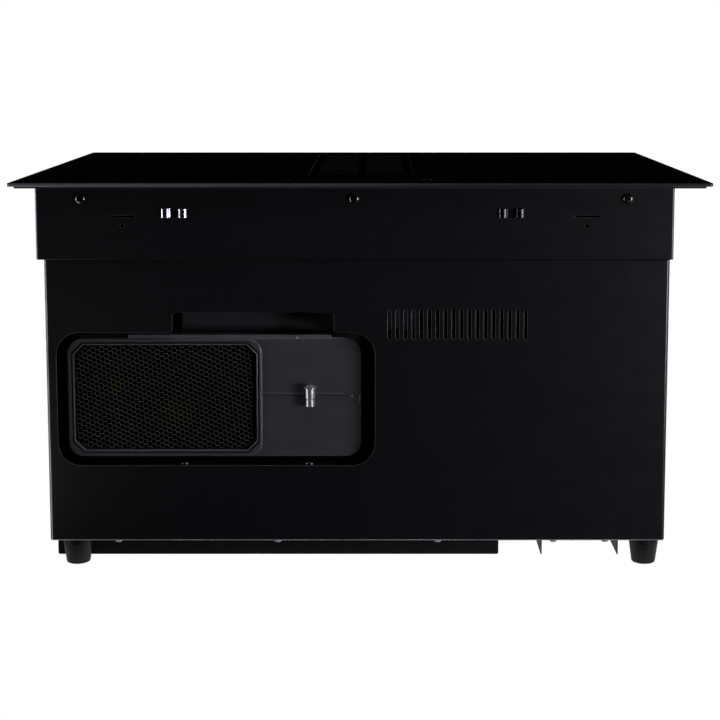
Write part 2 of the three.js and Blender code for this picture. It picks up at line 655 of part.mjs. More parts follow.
const mouth = {
  left: volute.left + COLLAR.outerLip,
  right: volute.collar - COLLAR.innerLip,
  bottom: volute.bottom + COLLAR.bottomLip,
  top: volute.top - COLLAR.topLip,
  front: volute.front - COLLAR.proud,
};

/** One half of the scroll housing between two heights. */
function voluteShell(low, high, closedBelow) {
  const { left, right, front, bottom, top, wall, edge, wheelX, wheelY, most } = volute;
  const back = wheelY + most;
  const rounded = (inset) => prismY(
    roundRect(left + inset, right - inset, bottom + inset, top - inset, edge - inset, VOLUTE.edgeSteps),
    front + inset, back,
  );
  const rim = prismY(
    roundRect(left, volute.collar, bottom, top, edge, VOLUTE.edgeSteps), mouth.front, front + COLLAR.depth,
  );
  const outer = prismZ(scrollOutline(0), bottom, top).intersect(rounded(0)).add(rim);
  const inner = prismZ(scrollOutline(wall), bottom + wall, top - wall).intersect(rounded(wall));
  const collar = box(left, volute.collar, front, front + COLLAR.depth, bottom, top);
  const hollow = cut(inner, [prismZ(tongueOutline(), bottom, top), collar]);
  const { left: x0, right: x1, bottom: z0, top: z1 } = mouth;
  const seat = mouth.front + CARBON.recess + CARBON.thickness + FIT;
  const opening = prismY(roundRect(x0, x1, z0, z1, COLLAR.chamfer, 1), mouth.front - 1, seat);
  const stop = COLLAR.stop;
  const beyond = prismY(
    roundRect(x0 + stop, x1 - stop, z0 + stop, z1 - stop, COLLAR.chamfer, 1),
    front, front + COLLAR.depth + 1,
  );
  const band = box(left - 1, right + 1, mouth.front - 1, back + 1, low, high);
  const port = closedBelow
    ? cylinder(VOLUTE.shaftHole, bottom - 1, bottom + wall + 1, wheelX, wheelY)
    : cylinder(VOLUTE.inlet, top - wall - 1, top + 1, wheelX, wheelY, 40);
  return cut(outer, [hollow, opening, beyond, port]).intersect(band);
}

function buildBlower(group) {
  const { bottom, top, seam, wheelX, wheelY, wall, front } = volute;
  const upper = voluteShell(seam + FIT / 2, top, false);
  piece(group, 'volute_upper_shell', upper, FINISH.plastic);

  const pads = [];
  for (const x of [stand.left + VOLUTE.padInset, stand.right - VOLUTE.padInset]) {
    for (const y of [front + VOLUTE.padFront, wheelY + VOLUTE.padBack]) {
      const half = VOLUTE.pad / 2;
      pads.push(box(x - half, x + half, y - half, y + half, stand.top + FIT, bottom + wall / 2));
    }
  }
  const lower = voluteShell(bottom, seam - FIT / 2, true);
  piece(group, 'volute_lower_shell', join([lower, ...pads]), FINISH.plastic);

  buildPinAndFilter(group);
  buildWheel(group);
  buildStandAndMotor(group);
}

function buildPinAndFilter(group) {
  const height = PIN.top - PIN.bottom;
  const neck = volute.seam - PIN.neckDrop - PIN.bottom;
  const flange = height - PIN.domeHeight;
  const pin = turned([
    [0, 0], [PIN.neck, 0], [PIN.neck, neck], [PIN.shank, neck + PIN.shank - PIN.neck],
    [PIN.shank, flange - PIN.flangeHeight], [PIN.flange, flange - PIN.flangeHeight], [PIN.flange, flange],
    [PIN.dome, flange + PIN.domeHeight / 2], [PIN.dome * 0.6, height], [0, height],
  ], 0, 0, 20);
  piece(
    group, 'clamp_pin', pin, FINISH.steel,
    volute.right - PIN.fromRight, volute.front - FIT - PIN.flange, PIN.bottom,
  );

  const { left, right, bottom, top } = mouth;
  const slab = prismY(
    roundRect(left + FIT, right - FIT, bottom + FIT, top - FIT, COLLAR.chamfer, 1),
    mouth.front + CARBON.recess, mouth.front + CARBON.recess + CARBON.thickness,
  );
  piece(group, 'carbon_filter', slab, FINISH.carbon);
}

function buildWheel(group) {
  const { bottom, top, wall, wheelX, wheelY } = volute;
  const low = bottom + wall + WHEEL.bottom;
  const high = top - wall - WHEEL.top;
  const rim = WHEEL.radius - WHEEL.bladeDepth;
  const bore = SHAFT.radius + FIT;
  const disc = turned([
    [bore, low], [WHEEL.radius, low], [WHEEL.radius, low + WHEEL.disc], [WHEEL.hub, low + WHEEL.disc],
    [WHEEL.hub, low + WHEEL.hubHeight], [bore, low + WHEEL.hubHeight],
  ], 0, 0, 36);
  const ring = turned([
    [rim, high - WHEEL.ring], [WHEEL.radius, high - WHEEL.ring], [WHEEL.radius, high], [rim, high],
  ], 0, 0, 36);
  const blades = Array.from({ length: WHEEL.blades }, (_, i) => {
    const blade = new THREE.BoxGeometry(WHEEL.bladeDepth * 0.83, WHEEL.blade, high - low - WHEEL.disc);
    blade.rotateZ(THREE.MathUtils.degToRad(WHEEL.bladeTurn));
    blade.translate(WHEEL.radius - WHEEL.bladeDepth / 2, 0, (low + high) / 2);
    return toSolid(blade.rotateZ((i * Math.PI * 2) / WHEEL.blades));
  });
  piece(group, 'impeller', join([disc, ring, ...blades]), FINISH.plastic, wheelX, wheelY, 0);

  const shaftTop = low + WHEEL.hubHeight + SHAFT.aboveHub;
  const shaft = cylinder(SHAFT.radius, shaftTop - SHAFT.length, shaftTop, 0, 0, 16);
  piece(group, 'drive_shaft', shaft, FINISH.steel, wheelX, wheelY, 0);
}

function buildStandAndMotor(group) {
  const { wheelX, wheelY } = volute;
  const half = STAND.sheet / 2;
  const deck = stand.top - half;
  const feet = onBase + half;
  const line = [
    at(stand.left - STAND.foot, feet), at(stand.left, feet), at(stand.left, deck),
    at(stand.right, deck), at(stand.right, feet), at(stand.right + STAND.foot, feet),
  ];
  const lipY = body.front + LIP_SCREW.setback;
  const lipMiddle = volute.right - LIP_SCREW.fromRight;
  const lipPlaces = [-0.5, 0.5].map((step) => lipMiddle + step * LIP_SCREW.pitch);
  const sheet = prismY(
    ribbon(line, STAND.sheet), body.front + SHEET + STAND.frontGap, body.back - STAND.backGap,
  );
  const holes = lipPlaces.map((x) => cylinder(SHANK.lip + SHANK.clearance, deck - 3, deck + 3, x, lipY, 12));
  const port = cylinder(MOTOR.spigot + FIT * 2, deck - 3, deck + 3, wheelX, wheelY, 32);
  piece(group, 'blower_stand', cut(sheet, [...holes, port]), FINISH.steel);

  lipPlaces.forEach((x, i) => {
    piece(
      group, `lip_screw_${i + 1}`, screw(LIP_SCREW, SHANK.lip), FINISH.steel,
      x, lipY, stand.top + FIT,
    );
  });

  const flangeTop = stand.top - STAND.sheet - FIT;
  const low = flangeTop - MOTOR.height;
  const bore = SHAFT.radius + FIT;
  const spigotTop = flangeTop + MOTOR.spigotHeight;
  const flangeUnder = flangeTop - MOTOR.flangeThickness;
  const shell = turned([
    [bore, low], [bore, spigotTop], [MOTOR.spigot, spigotTop], [MOTOR.spigot, flangeTop],
    [MOTOR.flange, flangeTop], [MOTOR.flange, flangeUnder], [MOTOR.radius, flangeUnder],
    [MOTOR.radius, low + MOTOR.bevel], [MOTOR.radius - MOTOR.bevel, low],
  ]);
  piece(group, 'motor_body', shell, FINISH.darkSteel, wheelX, wheelY, 0);
}

// ---------------------------------------------------------------------------------- lower body

/** The outlet opening with the finger notch above it. */
function outletOutline() {
  const { left, right } = outlet;
  const { bottom, top, corner, steps } = OUTLET;
  const { left: n0, right: n1 } = notch;
  const { top: peak, corner: r, foot: f } = NOTCH;
  return [
    ...arc(left + corner, bottom + corner, corner, 180, 270, steps),
    ...arc(right - corner, bottom + corner, corner, 270, 360, steps),
    ...arc(right - corner, top - corner, corner, 0, 90, steps),
    ...arc(n1 + f, top + f, f, 270, 180, 3),
    ...arc(n1 - r, peak - r, r, 0, 90, 3),
    ...arc(n0 + r, peak - r, r, 90, 180, 3),
    ...arc(n0 - f, top + f, f, 0, -90, 3),
    ...arc(left + corner, top - corner, corner, 90, 180, steps),
  ];
}

/** A folded outer sheet: a face with its edges turned in at the sides, the top and the bottom. */
function foldedSheet(lowerReturn) {
  const { left, right, front, bottom, top } = body;
  return join([
    box(left, right, front, front + SHEET, bottom, top),
    box(left, left + SHEET, front, front + RETURN, bottom, top),
    box(right - SHEET, right, front, front + RETURN, bottom, top),
    box(left, right, front, front + lowerReturn, bottom, bottom + SHEET),
    box(left, right, front, front + RETURN, top - SHEET, top),
  ]);
}

const bottomReturn = FOOT.inset + FOOT.bottom + 1;
const baseScrewPlaces = [
  ...BASE_SCREW.fromLeft.map((x) => body.left + x),
  ...BASE_SCREW.fromRight.map((x) => body.right - x),
];
const baseScrewY = body.front + BASE_SCREW.setback;
const screwHole = (x, y) => cylinder(
  SHANK.base + SHANK.clearance, body.bottom - 1, basePlate.top + 1, x, y, 12,
);

function buildPanels(group) {
  const { left, right, front, back, top } = body;
  const slots = Array.from({ length: LOUVRE.count }, (_, i) => {
    const x = outlet.right + LOUVRE.fromOutlet + LOUVRE.pitch * i;
    return prismY(slotOutline(x, LOUVRE.bottom, LOUVRE.top, LOUVRE.width / 2), front - 1, front + SHEET + 1);
  });
  const screwHoles = baseScrewPlaces.map((x) => screwHole(x, baseScrewY));
  const window = prismY(outletOutline(), front - 1, front + SHEET + 1);
  const frontSheet = cut(foldedSheet(bottomReturn), [window, ...slots, ...screwHoles]);
  piece(group, 'front_panel', frontSheet, FINISH.paint);

  const rearSheet = foldedSheet(bottomReturn);
  const rear = piece(group, 'rear_panel', rearSheet, FINISH.paint, left + right, 0, 0);
  rear.rotation.z = Math.PI;

  const innerFront = front + SHEET + FIT;
  const innerBack = back - SHEET - FIT;
  const sideTop = top - SHEET - FIT;
  for (const [label, edge, inward] of [['left', left, 1], ['right', right, -1]]) {
    const x0 = edge + inward * (SHEET + FIT);
    const x1 = x0 + inward * SHEET;
    const side = box(Math.min(x0, x1), Math.max(x0, x1), innerFront, innerBack, onBase, sideTop);
    piece(group, `side_panel_${label}`, side, FINISH.paint);
  }

  const plate = cut(
    box(left + SHEET + FIT, right - SHEET - FIT, innerFront, innerBack, basePlate.under, basePlate.top),
    [...screwHoles, cylinder(GLAND.thread + FIT, body.bottom, basePlate.top + 1, gland.x, gland.y)],
  );
  piece(group, 'base_plate', plate, FINISH.paint);

  baseScrewPlaces.forEach((x, i) => {
    const mesh = piece(
      group, `base_screw_${i + 1}`, screw(BASE_SCREW, SHANK.base, 8), FINISH.steel,
      x, baseScrewY, body.bottom - FIT,
    );
    mesh.rotation.x = Math.PI;
  });

  const wall = join([
    box(divider.x, divider.x + SHEET, innerFront, innerBack, onBase, DIVIDER.top),
    box(divider.x, divider.x + DIVIDER.foot, innerFront, innerBack, onBase, onBase + SHEET),
  ]);
  piece(group, 'divider_wall', wall, FINISH.steel);
}

function buildUnderside(group) {
  const under = basePlate.under - FIT;
  const { left: guardLeft, right: guardRight, front: y0 } = guard;
  const x0 = body.left + SUMP.fromLeft;
  const x1 = guardLeft - SUMP.guardGap;
  const y1 = body.back - SUMP.backGap;
  const { sheet, floorGap } = SUMP;
  const pan = cut(box(x0, x1, y0, y1, floorGap, under), [
    box(x0 + sheet, x1 - sheet, y0 + sheet, y1 - sheet, floorGap + sheet, under + 1),
  ]);
  piece(group, 'sump_pan', pan, FINISH.paint);

  const guardEnd = y0 + GUARD.length;
  const web = under - GUARD.sheet;
  const channel = cut(box(guardLeft, guardRight, y0, guardEnd, floorGap, under), [
    box(guardLeft + GUARD.sheet, guardRight - GUARD.sheet, y0 - 1, guardEnd + 1, floorGap - 1, web),
    cylinder(GLAND.nut + FIT * 4, web - 1, under + 1, gland.x, gland.y),
  ]);
  piece(group, 'cable_guard', channel, FINISH.paint);

  const threadTop = basePlate.top + GLAND.above;
  const shell = turned([
    [GLAND.bore, under - GLAND.length], [GLAND.thread, under - GLAND.length],
    [GLAND.nut, under - GLAND.nutHeight], [GLAND.nut, under],
    [GLAND.thread, under], [GLAND.thread, threadTop], [GLAND.bore, threadTop],
  ]);
  piece(group, 'cable_gland', shell, FINISH.plastic, gland.x, gland.y, 0);

  const { width, depth, height: tall, cells, cell, lip } = TERMINAL;
  const block = join([
    box(-width / 2, width / 2, 0, depth, 0, tall * 0.6),
    ...Array.from({ length: cells }, (_, i) => {
      const x = width * ((i + 0.5) / cells - 0.5);
      return box(x - cell / 2, x + cell / 2, lip, depth - lip, tall * 0.4, tall);
    }),
  ]);
  piece(group, 'terminal_block', block, FINISH.plastic, gland.x, gland.y + TERMINAL.behindGland, onBase);

  const height = body.bottom - FIT;
  const rubber = turned([
    [0, 0], [FOOT.bottom - FOOT.bevel, 0], [FOOT.bottom, FOOT.bevel], [FOOT.top, height - FOOT.collar],
    [FOOT.top, height], [0, height],
  ]);
  for (const [y, place] of [[body.front + FOOT.inset, 'front'], [body.back - FOOT.inset, 'back']]) {
    for (const [x, label] of [[body.left + FOOT.fromLeft, 'left'], [body.right - FOOT.fromRight, 'right']]) {
      piece(group, `foot_${place}_${label}`, rubber, FINISH.rubber, x, y, 0);
    }
  }
}

/** The blower's own controller, standing on the divider with its pegs against the sheet. */
function buildDriver(group) {
  const board = circuitBoard(DRIVER.width, DRIVER.height, DRIVER.tallest, DRIVER_PARTS);
  const holder = new THREE.Group();
  holder.position.set(divider.x + SHEET + FIT, DRIVER.centreY - DRIVER.width / 2, DRIVER.bottom);
  holder.quaternion.setFromRotationMatrix(new THREE.Matrix4().makeBasis(
    new THREE.Vector3(0, 1, 0), new THREE.Vector3(0, 0, 1), new THREE.Vector3(1, 0, 0),
  ));
  piece(holder, 'blower_driver_board', board, FINISH.board);
  group.add(holder);
}

// ------------------------------------------------------------------------------------ assembly

function assemble() {
  const cooktop = new THREE.Group();
  const sections = [
    buildGlass, buildCasing, buildCoils, buildControls, buildPower, buildCoolingFan,
    buildVent, buildBlower, buildPanels, buildUnderside, buildDriver,
  ];
  for (const build of sections) {
    const section = new THREE.Group();
    build(section);
    cooktop.add(section);
  }
  return cooktop;
}

export default assemble();
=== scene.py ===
"""Looks of a downdraft induction cooktop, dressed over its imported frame.

The frame gives every piece its place. Each sub-assembly below is a class that builds the finer
surfaces of its own pieces and gives them their finishes. Lengths are in metres, with +X to the
right, +Y to the back and +Z up.
"""

import sys

import logging
import math
from collections.abc import Iterable, Mapping, Sequence
from dataclasses import dataclass, replace
from enum import Enum
from functools import cached_property

import bmesh
import bpy
from bmesh.types import BMEdge, BMFace, BMVert
from bpy.types import Material, Node, NodeSocket, Object, Scene, World
from mathutils import Matrix, Vector


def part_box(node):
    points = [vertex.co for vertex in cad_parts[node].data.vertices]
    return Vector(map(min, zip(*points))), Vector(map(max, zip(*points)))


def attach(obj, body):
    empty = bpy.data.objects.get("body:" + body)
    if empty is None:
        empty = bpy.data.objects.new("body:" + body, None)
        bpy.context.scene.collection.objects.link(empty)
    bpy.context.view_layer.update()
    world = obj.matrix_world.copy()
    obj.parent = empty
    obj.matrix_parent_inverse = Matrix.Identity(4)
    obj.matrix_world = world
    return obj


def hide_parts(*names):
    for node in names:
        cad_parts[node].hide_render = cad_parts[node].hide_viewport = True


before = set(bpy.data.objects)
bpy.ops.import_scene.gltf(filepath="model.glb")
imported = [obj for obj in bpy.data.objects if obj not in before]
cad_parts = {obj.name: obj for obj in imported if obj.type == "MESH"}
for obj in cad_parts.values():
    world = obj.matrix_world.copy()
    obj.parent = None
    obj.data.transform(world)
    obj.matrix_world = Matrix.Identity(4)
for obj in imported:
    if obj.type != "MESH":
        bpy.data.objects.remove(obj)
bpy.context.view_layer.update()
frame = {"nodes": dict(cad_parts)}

log = logging.getLogger("cooktop")
ops = bmesh.ops

Color = tuple[float, float, float]
Point = tuple[float, float]
Triple = tuple[float, float, float]

UP = Vector((0, 0, 1))
DOWN = Vector((0, 0, -1))
FRONT = Vector((0, -1, 0))
BACK = Vector((0, 1, 0))
LEFT = Vector((-1, 0, 0))
RIGHT = Vector((1, 0, 0))
NEAR = 1e-5  # places closer than this count as one
SHARP = 40  # angle in degrees past which an edge of a solid is one of its own edges


class Body(Enum):
    """The bodies of the frame that a piece can ride on."""

    CHASSIS = "chassis"
    GRILLE = "grille"
    CASSETTE = "filter_cassette"
    OUTLET_FILTER = "outlet_filter"
    BLOWER_ROTOR = "blower_rotor"
    FAN_ROTOR = "fan_rotor"
    CLIP_FRONT_1 = "clip_front_1"
    CLIP_FRONT_2 = "clip_front_2"
    CLIP_REAR_1 = "clip_rear_1"
    CLIP_REAR_2 = "clip_rear_2"


class Slot(Enum):
    """The material slots of the frame's record."""

    GLASS = "black_glass"
    FOAM = "foam_seal"
    PAINT = "black_paint"
    DARK_STEEL = "dark_steel"
    BRIGHT_STEEL = "bright_steel"
    ZINC = "zinc_steel"
    ALUMINIUM = "aluminium"
    PLASTIC = "black_plastic"
    CARBON = "carbon_media"
    RUBBER = "rubber"
    COPPER = "copper_winding"
    CIRCUIT = "circuit_board"


# ---------------------------------------------------------------------------------- finishes


class NodeBoard:
    """The emptied node tree of a material or a world, with short calls to fill it."""

    def __init__(self, owner: Material | World) -> None:
        """Empties the owner's node tree.

        Args:
            owner: the material or the world.
        """
        owner.use_nodes = True
        self.tree = owner.node_tree
        self.tree.nodes.clear()

    @cached_property
    def place(self) -> NodeSocket:
        """The object coordinates."""
        return self.node("TexCoord").outputs["Object"]

    def node(
        self, kind: str, inputs: Mapping[str | int, object] | None = None, **settings: object
    ) -> Node:
        """Adds a node.

        Args:
            kind: the node's type.
            inputs: the value or the source socket of each input, by name or number.
            settings: properties of the node, by name.

        Returns:
            The new node.
        """
        made = self.tree.nodes.new(f"ShaderNode{kind}")
        for key, value in settings.items():
            setattr(made, key, value)
        for key, value in (inputs or {}).items():
            if isinstance(value, NodeSocket):
                self.tree.links.new(value, made.inputs[key])
            else:
                made.inputs[key].default_value = value
        return made

    def mapped(self, scale: Sequence[float], shift: Sequence[float] = (0, 0, 0)) -> NodeSocket:
        """Gives object coordinates moved by a shift and then stretched by a scale."""
        inputs = {"Vector": self.place, "Scale": scale, "Location": [s * k for s, k in zip(shift, scale)]}
        return self.node("Mapping", inputs).outputs["Vector"]

    def noise(self, size: float, detail: float = 2.0, place: NodeSocket | None = None) -> NodeSocket:
        """Gives smooth noise of a size in metres, with octaves of finer noise, at coordinates."""
        inputs = {"Scale": 1 / size, "Detail": detail, "Vector": place or self.place}
        return self.node("TexNoise", inputs).outputs["Fac"]

    def cells(self, size: float) -> NodeSocket:
        """Gives a cell pattern as the distance from each cell's middle."""
        return self.node("TexVoronoi", {"Scale": 1 / size, "Vector": self.place}).outputs["Distance"]

    def along(self, vector: NodeSocket, axis: str) -> NodeSocket:
        """Gives one axis of a vector."""
        return self.node("SeparateXYZ", {"Vector": vector}).outputs[axis]

    def spread(
        self, factor: NodeSocket, low: float, high: float, start: float = 0.3, end: float = 0.7
    ) -> NodeSocket:
        """Maps a factor, so that the start gives the low value and the end the high one."""
        inputs = {"Value": factor, "From Min": start, "From Max": end, "To Min": low, "To Max": high}
        return self.node("MapRange", inputs).outputs["Result"]

    def blend(self, factor: NodeSocket, first: Color | NodeSocket, second: Color) -> NodeSocket:
        """Mixes two colours.

        Args:
            factor: 0 gives the first colour and 1 the second.
            first: linear colour, or the socket of one.
            second: linear colour.

        Returns:
            The colour socket.
        """
        start = first if isinstance(first, NodeSocket) else (*first, 1)
        made = self.node("Mix", {"Factor": factor, "A": start, "B": (*second, 1)}, data_type="RGBA")
        return next(s for s in made.outputs if s.type == "RGBA")

    def relief(self, height: NodeSocket, depth: float, under: Node | None = None) -> Node:
        """Adds a bump.

        Args:
            height: pattern from 0 to 1.
            depth: metres from the pattern's lowest to its highest point.
            under: another bump that this one lies on.

        Returns:
            The bump node.
        """
        inputs = {"Distance": depth, "Height": height}
        if under is not None:
            inputs["Normal"] = under.outputs["Normal"]
        return self.node("Bump", inputs)


@dataclass(frozen=True)
class Finish:
    """A surface with its colour, its gloss and its fine texture.

    Args:
        name: the material's name.
        slot: the record's slot that it belongs to; not used.
        color: linear base colour.
        roughness: middle of the roughness.
        metallic: 1 for bare metal.
        specular: strength of the gloss of a surface that is no metal.
        mottle: share by which the colour drifts.
        mottle_size: size of the drift.
        smudge: how far the roughness drifts.
        smudge_size: size of that drift.
        grain_size: size of the fine texture.
        grain_depth: depth of the fine texture.
    """

    name: str
    slot: Slot
    color: Color
    roughness: float
    metallic: float = 0.0
    specular: float = 0.5
    mottle: float = 0.1
    mottle_size: float = 0.05
    smudge: float = 0.04
    smudge_size: float = 0.02
    grain_size: float = 0.0008
    grain_depth: float = 0.00002

    def material(self) -> Material:
        """Makes the material, unless it is there already.

        Returns:
            The material.
        """
        made = bpy.data.materials.get(self.name)
        if made is None:
            made = bpy.data.materials.new(self.name)
            board = NodeBoard(made)
            low, high = max(self.roughness - self.smudge, 0.01), self.roughness + self.smudge
            surface = board.node("BsdfPrincipled", {
                "Metallic": self.metallic,
                "Specular IOR Level": self.specular,
                "Base Color": self.tint(board),
                "Roughness": board.spread(board.noise(self.smudge_size, 3.0), low, high),
                "Normal": self.texture(board).outputs["Normal"],
            })
            board.node("OutputMaterial", {"Surface": surface.outputs["BSDF"]})
        return made

    def shade(self, factor: float) -> Color:
        """Returns the colour times a factor."""
        return tuple(c * factor for c in self.color)

    def tint(self, board: NodeBoard) -> NodeSocket:
        """Gives the slowly drifting colour."""
        drift = board.spread(board.noise(self.mottle_size, 4.0), 0.0, 1.0)
        return board.blend(drift, self.shade(1 - self.mottle), self.shade(1 + self.mottle))

    def texture(self, board: NodeBoard) -> Node:
        """Gives the bump of the fine texture."""
        return board.relief(board.noise(self.grain_size), self.grain_depth)


@dataclass(frozen=True)
class PowderCoat(Finish):
    """Baked powder paint, with a soft orange-peel wave under its fine grain.

    Args:
        peel_size: length of the wave.
        peel_depth: depth of the wave.
    """

    peel_size: float = 0.0035
    peel_depth: float = 0.00003

    def texture(self, board: NodeBoard) -> Node:
        """Gives the bump of the grain lying on the bump of the wave."""
        peel = board.relief(board.noise(self.peel_size, 1.0), self.peel_depth)
        return board.relief(board.noise(self.grain_size), self.grain_depth, peel)


@dataclass(frozen=True)
class GroundEdge(Finish):
    """The ground edge of the glass, paler towards one end: a painted highlight where light falls from the
    left.

    Args:
        pale: linear colour of the pale end, a painted highlight.
        pale_from: X where the painted highlight starts.
        pale_to: X where the painted highlight is strongest.
    """

    pale: Color = (0.135, 0.139, 0.152)
    pale_from: float = 0.12
    pale_to: float = -0.3

    def tint(self, board: NodeBoard) -> NodeSocket:
        """Gives the colour with its painted highlight along X."""
        change = board.spread(board.along(board.place, "X"), 0.0, 1.0, self.pale_from, self.pale_to)
        return board.blend(change, self.color, self.pale)


@dataclass(frozen=True)
class MouldedPlastic(Finish):
    """Dark moulded plastic with an eroded mould texture, pale flow marks and painted light on faces that look
    up.

    Args:
        flow: share by which flow marks lighten the colour.
        flow_stretch: how much longer than high a flow mark is.
        flow_range: noise where a mark starts and where it is full.
        painted_light: linear colour of the painted light on faces that look up.
        painted_light_range: Z of the normal where the painted light starts and where it is full.
        swell: how much coarser the texture's swell is than its pits.
    """

    flow: float = 0.25
    flow_stretch: float = 4.0
    flow_range: Point = (0.35, 0.75)
    painted_light: Color | None = None
    painted_light_range: Point = (0.35, 0.95)
    swell: float = 4.0

    def tint(self, board: NodeBoard) -> NodeSocket:
        """Gives the colour with its flow marks and its painted top light.

        Args:
            board: the material's board.

        Returns:
            The colour socket.
        """
        marks = board.noise(self.mottle_size, 3.0, board.mapped((1, 1, self.flow_stretch)))
        color = board.blend(
            board.spread(marks, 0.0, 1.0, *self.flow_range), self.color, self.shade(1 + self.flow)
        )
        if self.painted_light is None:
            return color
        # painted light: faces that look up turn paler, as if lit from above
        up_share = board.along(board.node("NewGeometry").outputs["Normal"], "Z")
        return board.blend(board.spread(up_share, 0.0, 1.0, *self.painted_light_range), color, self.painted_light)

    def texture(self, board: NodeBoard) -> Node:
        """Gives the bump of the eroded texture."""
        pits = board.relief(board.cells(self.grain_size), self.grain_depth)
        return board.relief(board.noise(self.grain_size * self.swell), self.grain_depth, pits)


@dataclass(frozen=True)
class BrushedMetal(Finish):
    """Metal with fine lines along one axis.

    Args:
        stretch: factor along each axis; the lines run along the smallest.
    """

    metallic: float = 1.0
    stretch: Triple = (0.04, 1, 1)

    def texture(self, board: NodeBoard) -> Node:
        """Gives the bump of the brushed lines."""
        return board.relief(board.noise(self.grain_size, 3.0, board.mapped(self.stretch)), self.grain_depth)


@dataclass(frozen=True)
class Granular(Finish):
    """Closed-cell foam or packed grains."""

    def texture(self, board: NodeBoard) -> Node:
        """Gives the bump of the cells or grains."""
        return board.relief(board.cells(self.grain_size), self.grain_depth)


@dataclass(frozen=True)
class LightPatchedCarbon(Granular):
    """Carbon with a few paler, yellowish patches of painted light.

    Args:
        painted_light: linear colour of the painted light patches.
        patches: X, Z and reach of each patch.
        core: share of the reach in which a patch is full.
    """

    painted_light: Color = (0.012, 0.011, 0.003)
    patches: tuple[Triple, ...] = ((-0.2771, 0.2043, 0.014), (-0.2094, 0.1705, 0.026))
    core: float = 0.3

    def tint(self, board: NodeBoard) -> NodeSocket:
        """Gives the colour with its painted light patches.

        Args:
            board: the material's board.

        Returns:
            The colour socket.
        """
        # painted light: paler yellowish patches at fixed X and Z
        cover = 0.0
        for x, z, reach in self.patches:
            away = board.node("VectorMath", {0: board.mapped((1, 0, 1), (-x, 0, -z))}, operation="LENGTH")
            patch = board.spread(away.outputs["Value"], 1.0, 0.0, self.core * reach, reach)
            cover = board.node("Math", {0: cover, 1: patch}, operation="MAXIMUM").outputs["Value"]
        return board.blend(cover, self.color, self.painted_light)


@dataclass(frozen=True)
class CopperWinding(Finish):
    """Flat winding of stranded wire, as rings about the coil's middle.

    Args:
        middle: X and Y of the coil's middle.
        wire: width of a turn.
        groove: share of the colour that is left in the grooves among the turns.
    """

    middle: Point = (0.0, 0.0)
    wire: float = 0.003
    groove: float = 0.2

    def rings(self, board: NodeBoard) -> NodeSocket:
        """Gives the ring pattern, one ring to a turn.

        Args:
            board: the material's board.

        Returns:
            The pattern's socket.
        """
        place = board.mapped((1, 1, 0), (-self.middle[0], -self.middle[1], 0))
        inputs = {"Scale": math.tau / self.wire / 20, "Vector": place}
        return board.node("TexWave", inputs, wave_type="RINGS", rings_direction="SPHERICAL").outputs["Fac"]

    def tint(self, board: NodeBoard) -> NodeSocket:
        """Gives the colour, darkened in the grooves."""
        return board.blend(self.rings(board), self.shade(self.groove), self.color)

    def texture(self, board: NodeBoard) -> Node:
        """Gives the bump of the turns."""
        return board.relief(self.rings(board), self.grain_depth)


@dataclass(frozen=True)
class BoardLacquer(Finish):
    """A circuit board under lacquer, with lighter tracks.

    Args:
        track: linear colour of the tracks.
        track_size: their pitch.
    """

    track: Color = (0.05, 0.24, 0.09)
    track_size: float = 0.004

    def tint(self, board: NodeBoard) -> NodeSocket:
        """Gives the colour with its tracks.

        Args:
            board: the material's board.

        Returns:
            The colour socket.
        """
        colors = {"Color1": (*self.color, 1), "Color2": (*self.shade(0.8), 1), "Mortar": (*self.track, 1)}
        brick = board.node("TexBrick", {"Vector": board.place, "Scale": 1 / self.track_size, **colors})
        return brick.outputs["Color"]


GLASS = Finish(
    "black_glass", Slot.GLASS, (0.0003, 0.0003, 0.00035), 0.025, mottle=0.3, smudge=0.01,
    smudge_size=0.06, grain_size=0.2, grain_depth=0.000002,
)
# painted highlight: the glass edge turns paler towards the left
GLASS_EDGE = GroundEdge(
    "ground_glass_edge", Slot.GLASS, (0.025, 0.026, 0.029), 0.3, grain_size=0.0004, grain_depth=0.00003,
)
ZONE_PRINT = Finish(
    "zone_print", Slot.GLASS, (0.006, 0.006, 0.0062), 0.3, mottle=0.05, grain_size=0.0005,
    grain_depth=0.00001,
)
SEAL_FOAM = Granular("seal_foam", Slot.FOAM, (0.012,) * 3, 0.85, grain_size=0.0009, grain_depth=0.0002)
PAINT = PowderCoat(
    "black_powder_coat", Slot.PAINT, (0.0085, 0.0085, 0.0092), 0.33, smudge=0.018, mottle=0.08,
    mottle_size=0.18, grain_size=0.0006, grain_depth=0.00001, peel_depth=0.00001,
)
# painted highlight: a paler coat on the rounded cut edges, standing in for the light lines along them
EDGE_HIGHLIGHT_PAINT = replace(
    PAINT, name="powder_coat_painted_edge_highlight", color=(0.075, 0.075, 0.078), roughness=0.3, smudge=0.04,
    mottle=0.35, mottle_size=0.03,
)
# painted highlight: a near-white coat for the bright line along the bottom fold and the left folds
BEND_HIGHLIGHT_PAINT = replace(
    PAINT, name="bend_painted_highlight", color=(0.36, 0.36, 0.365), roughness=0.32, smudge=0.05, mottle=0.35,
    mottle_size=0.04,
)
PAN_PAINT = PowderCoat(
    "pan_powder_coat", Slot.PAINT, (0.006, 0.006, 0.0063), 0.5, specular=0.2, smudge=0.05,
    grain_depth=0.00003,
)
STAND_PAINT = replace(PAN_PAINT, name="stand_powder_coat", color=(0.003, 0.003, 0.0032), specular=0.12)
GRILLE_COAT = PowderCoat(
    "grille_coat", Slot.DARK_STEEL, (0.0012, 0.0012, 0.0013), 0.2, smudge=0.03, specular=0.12,
    grain_size=0.0009, grain_depth=0.000004, peel_depth=0.000003,
)
MOTOR_COAT = PowderCoat("motor_coat", Slot.DARK_STEEL, (0.03, 0.03, 0.032), 0.4)
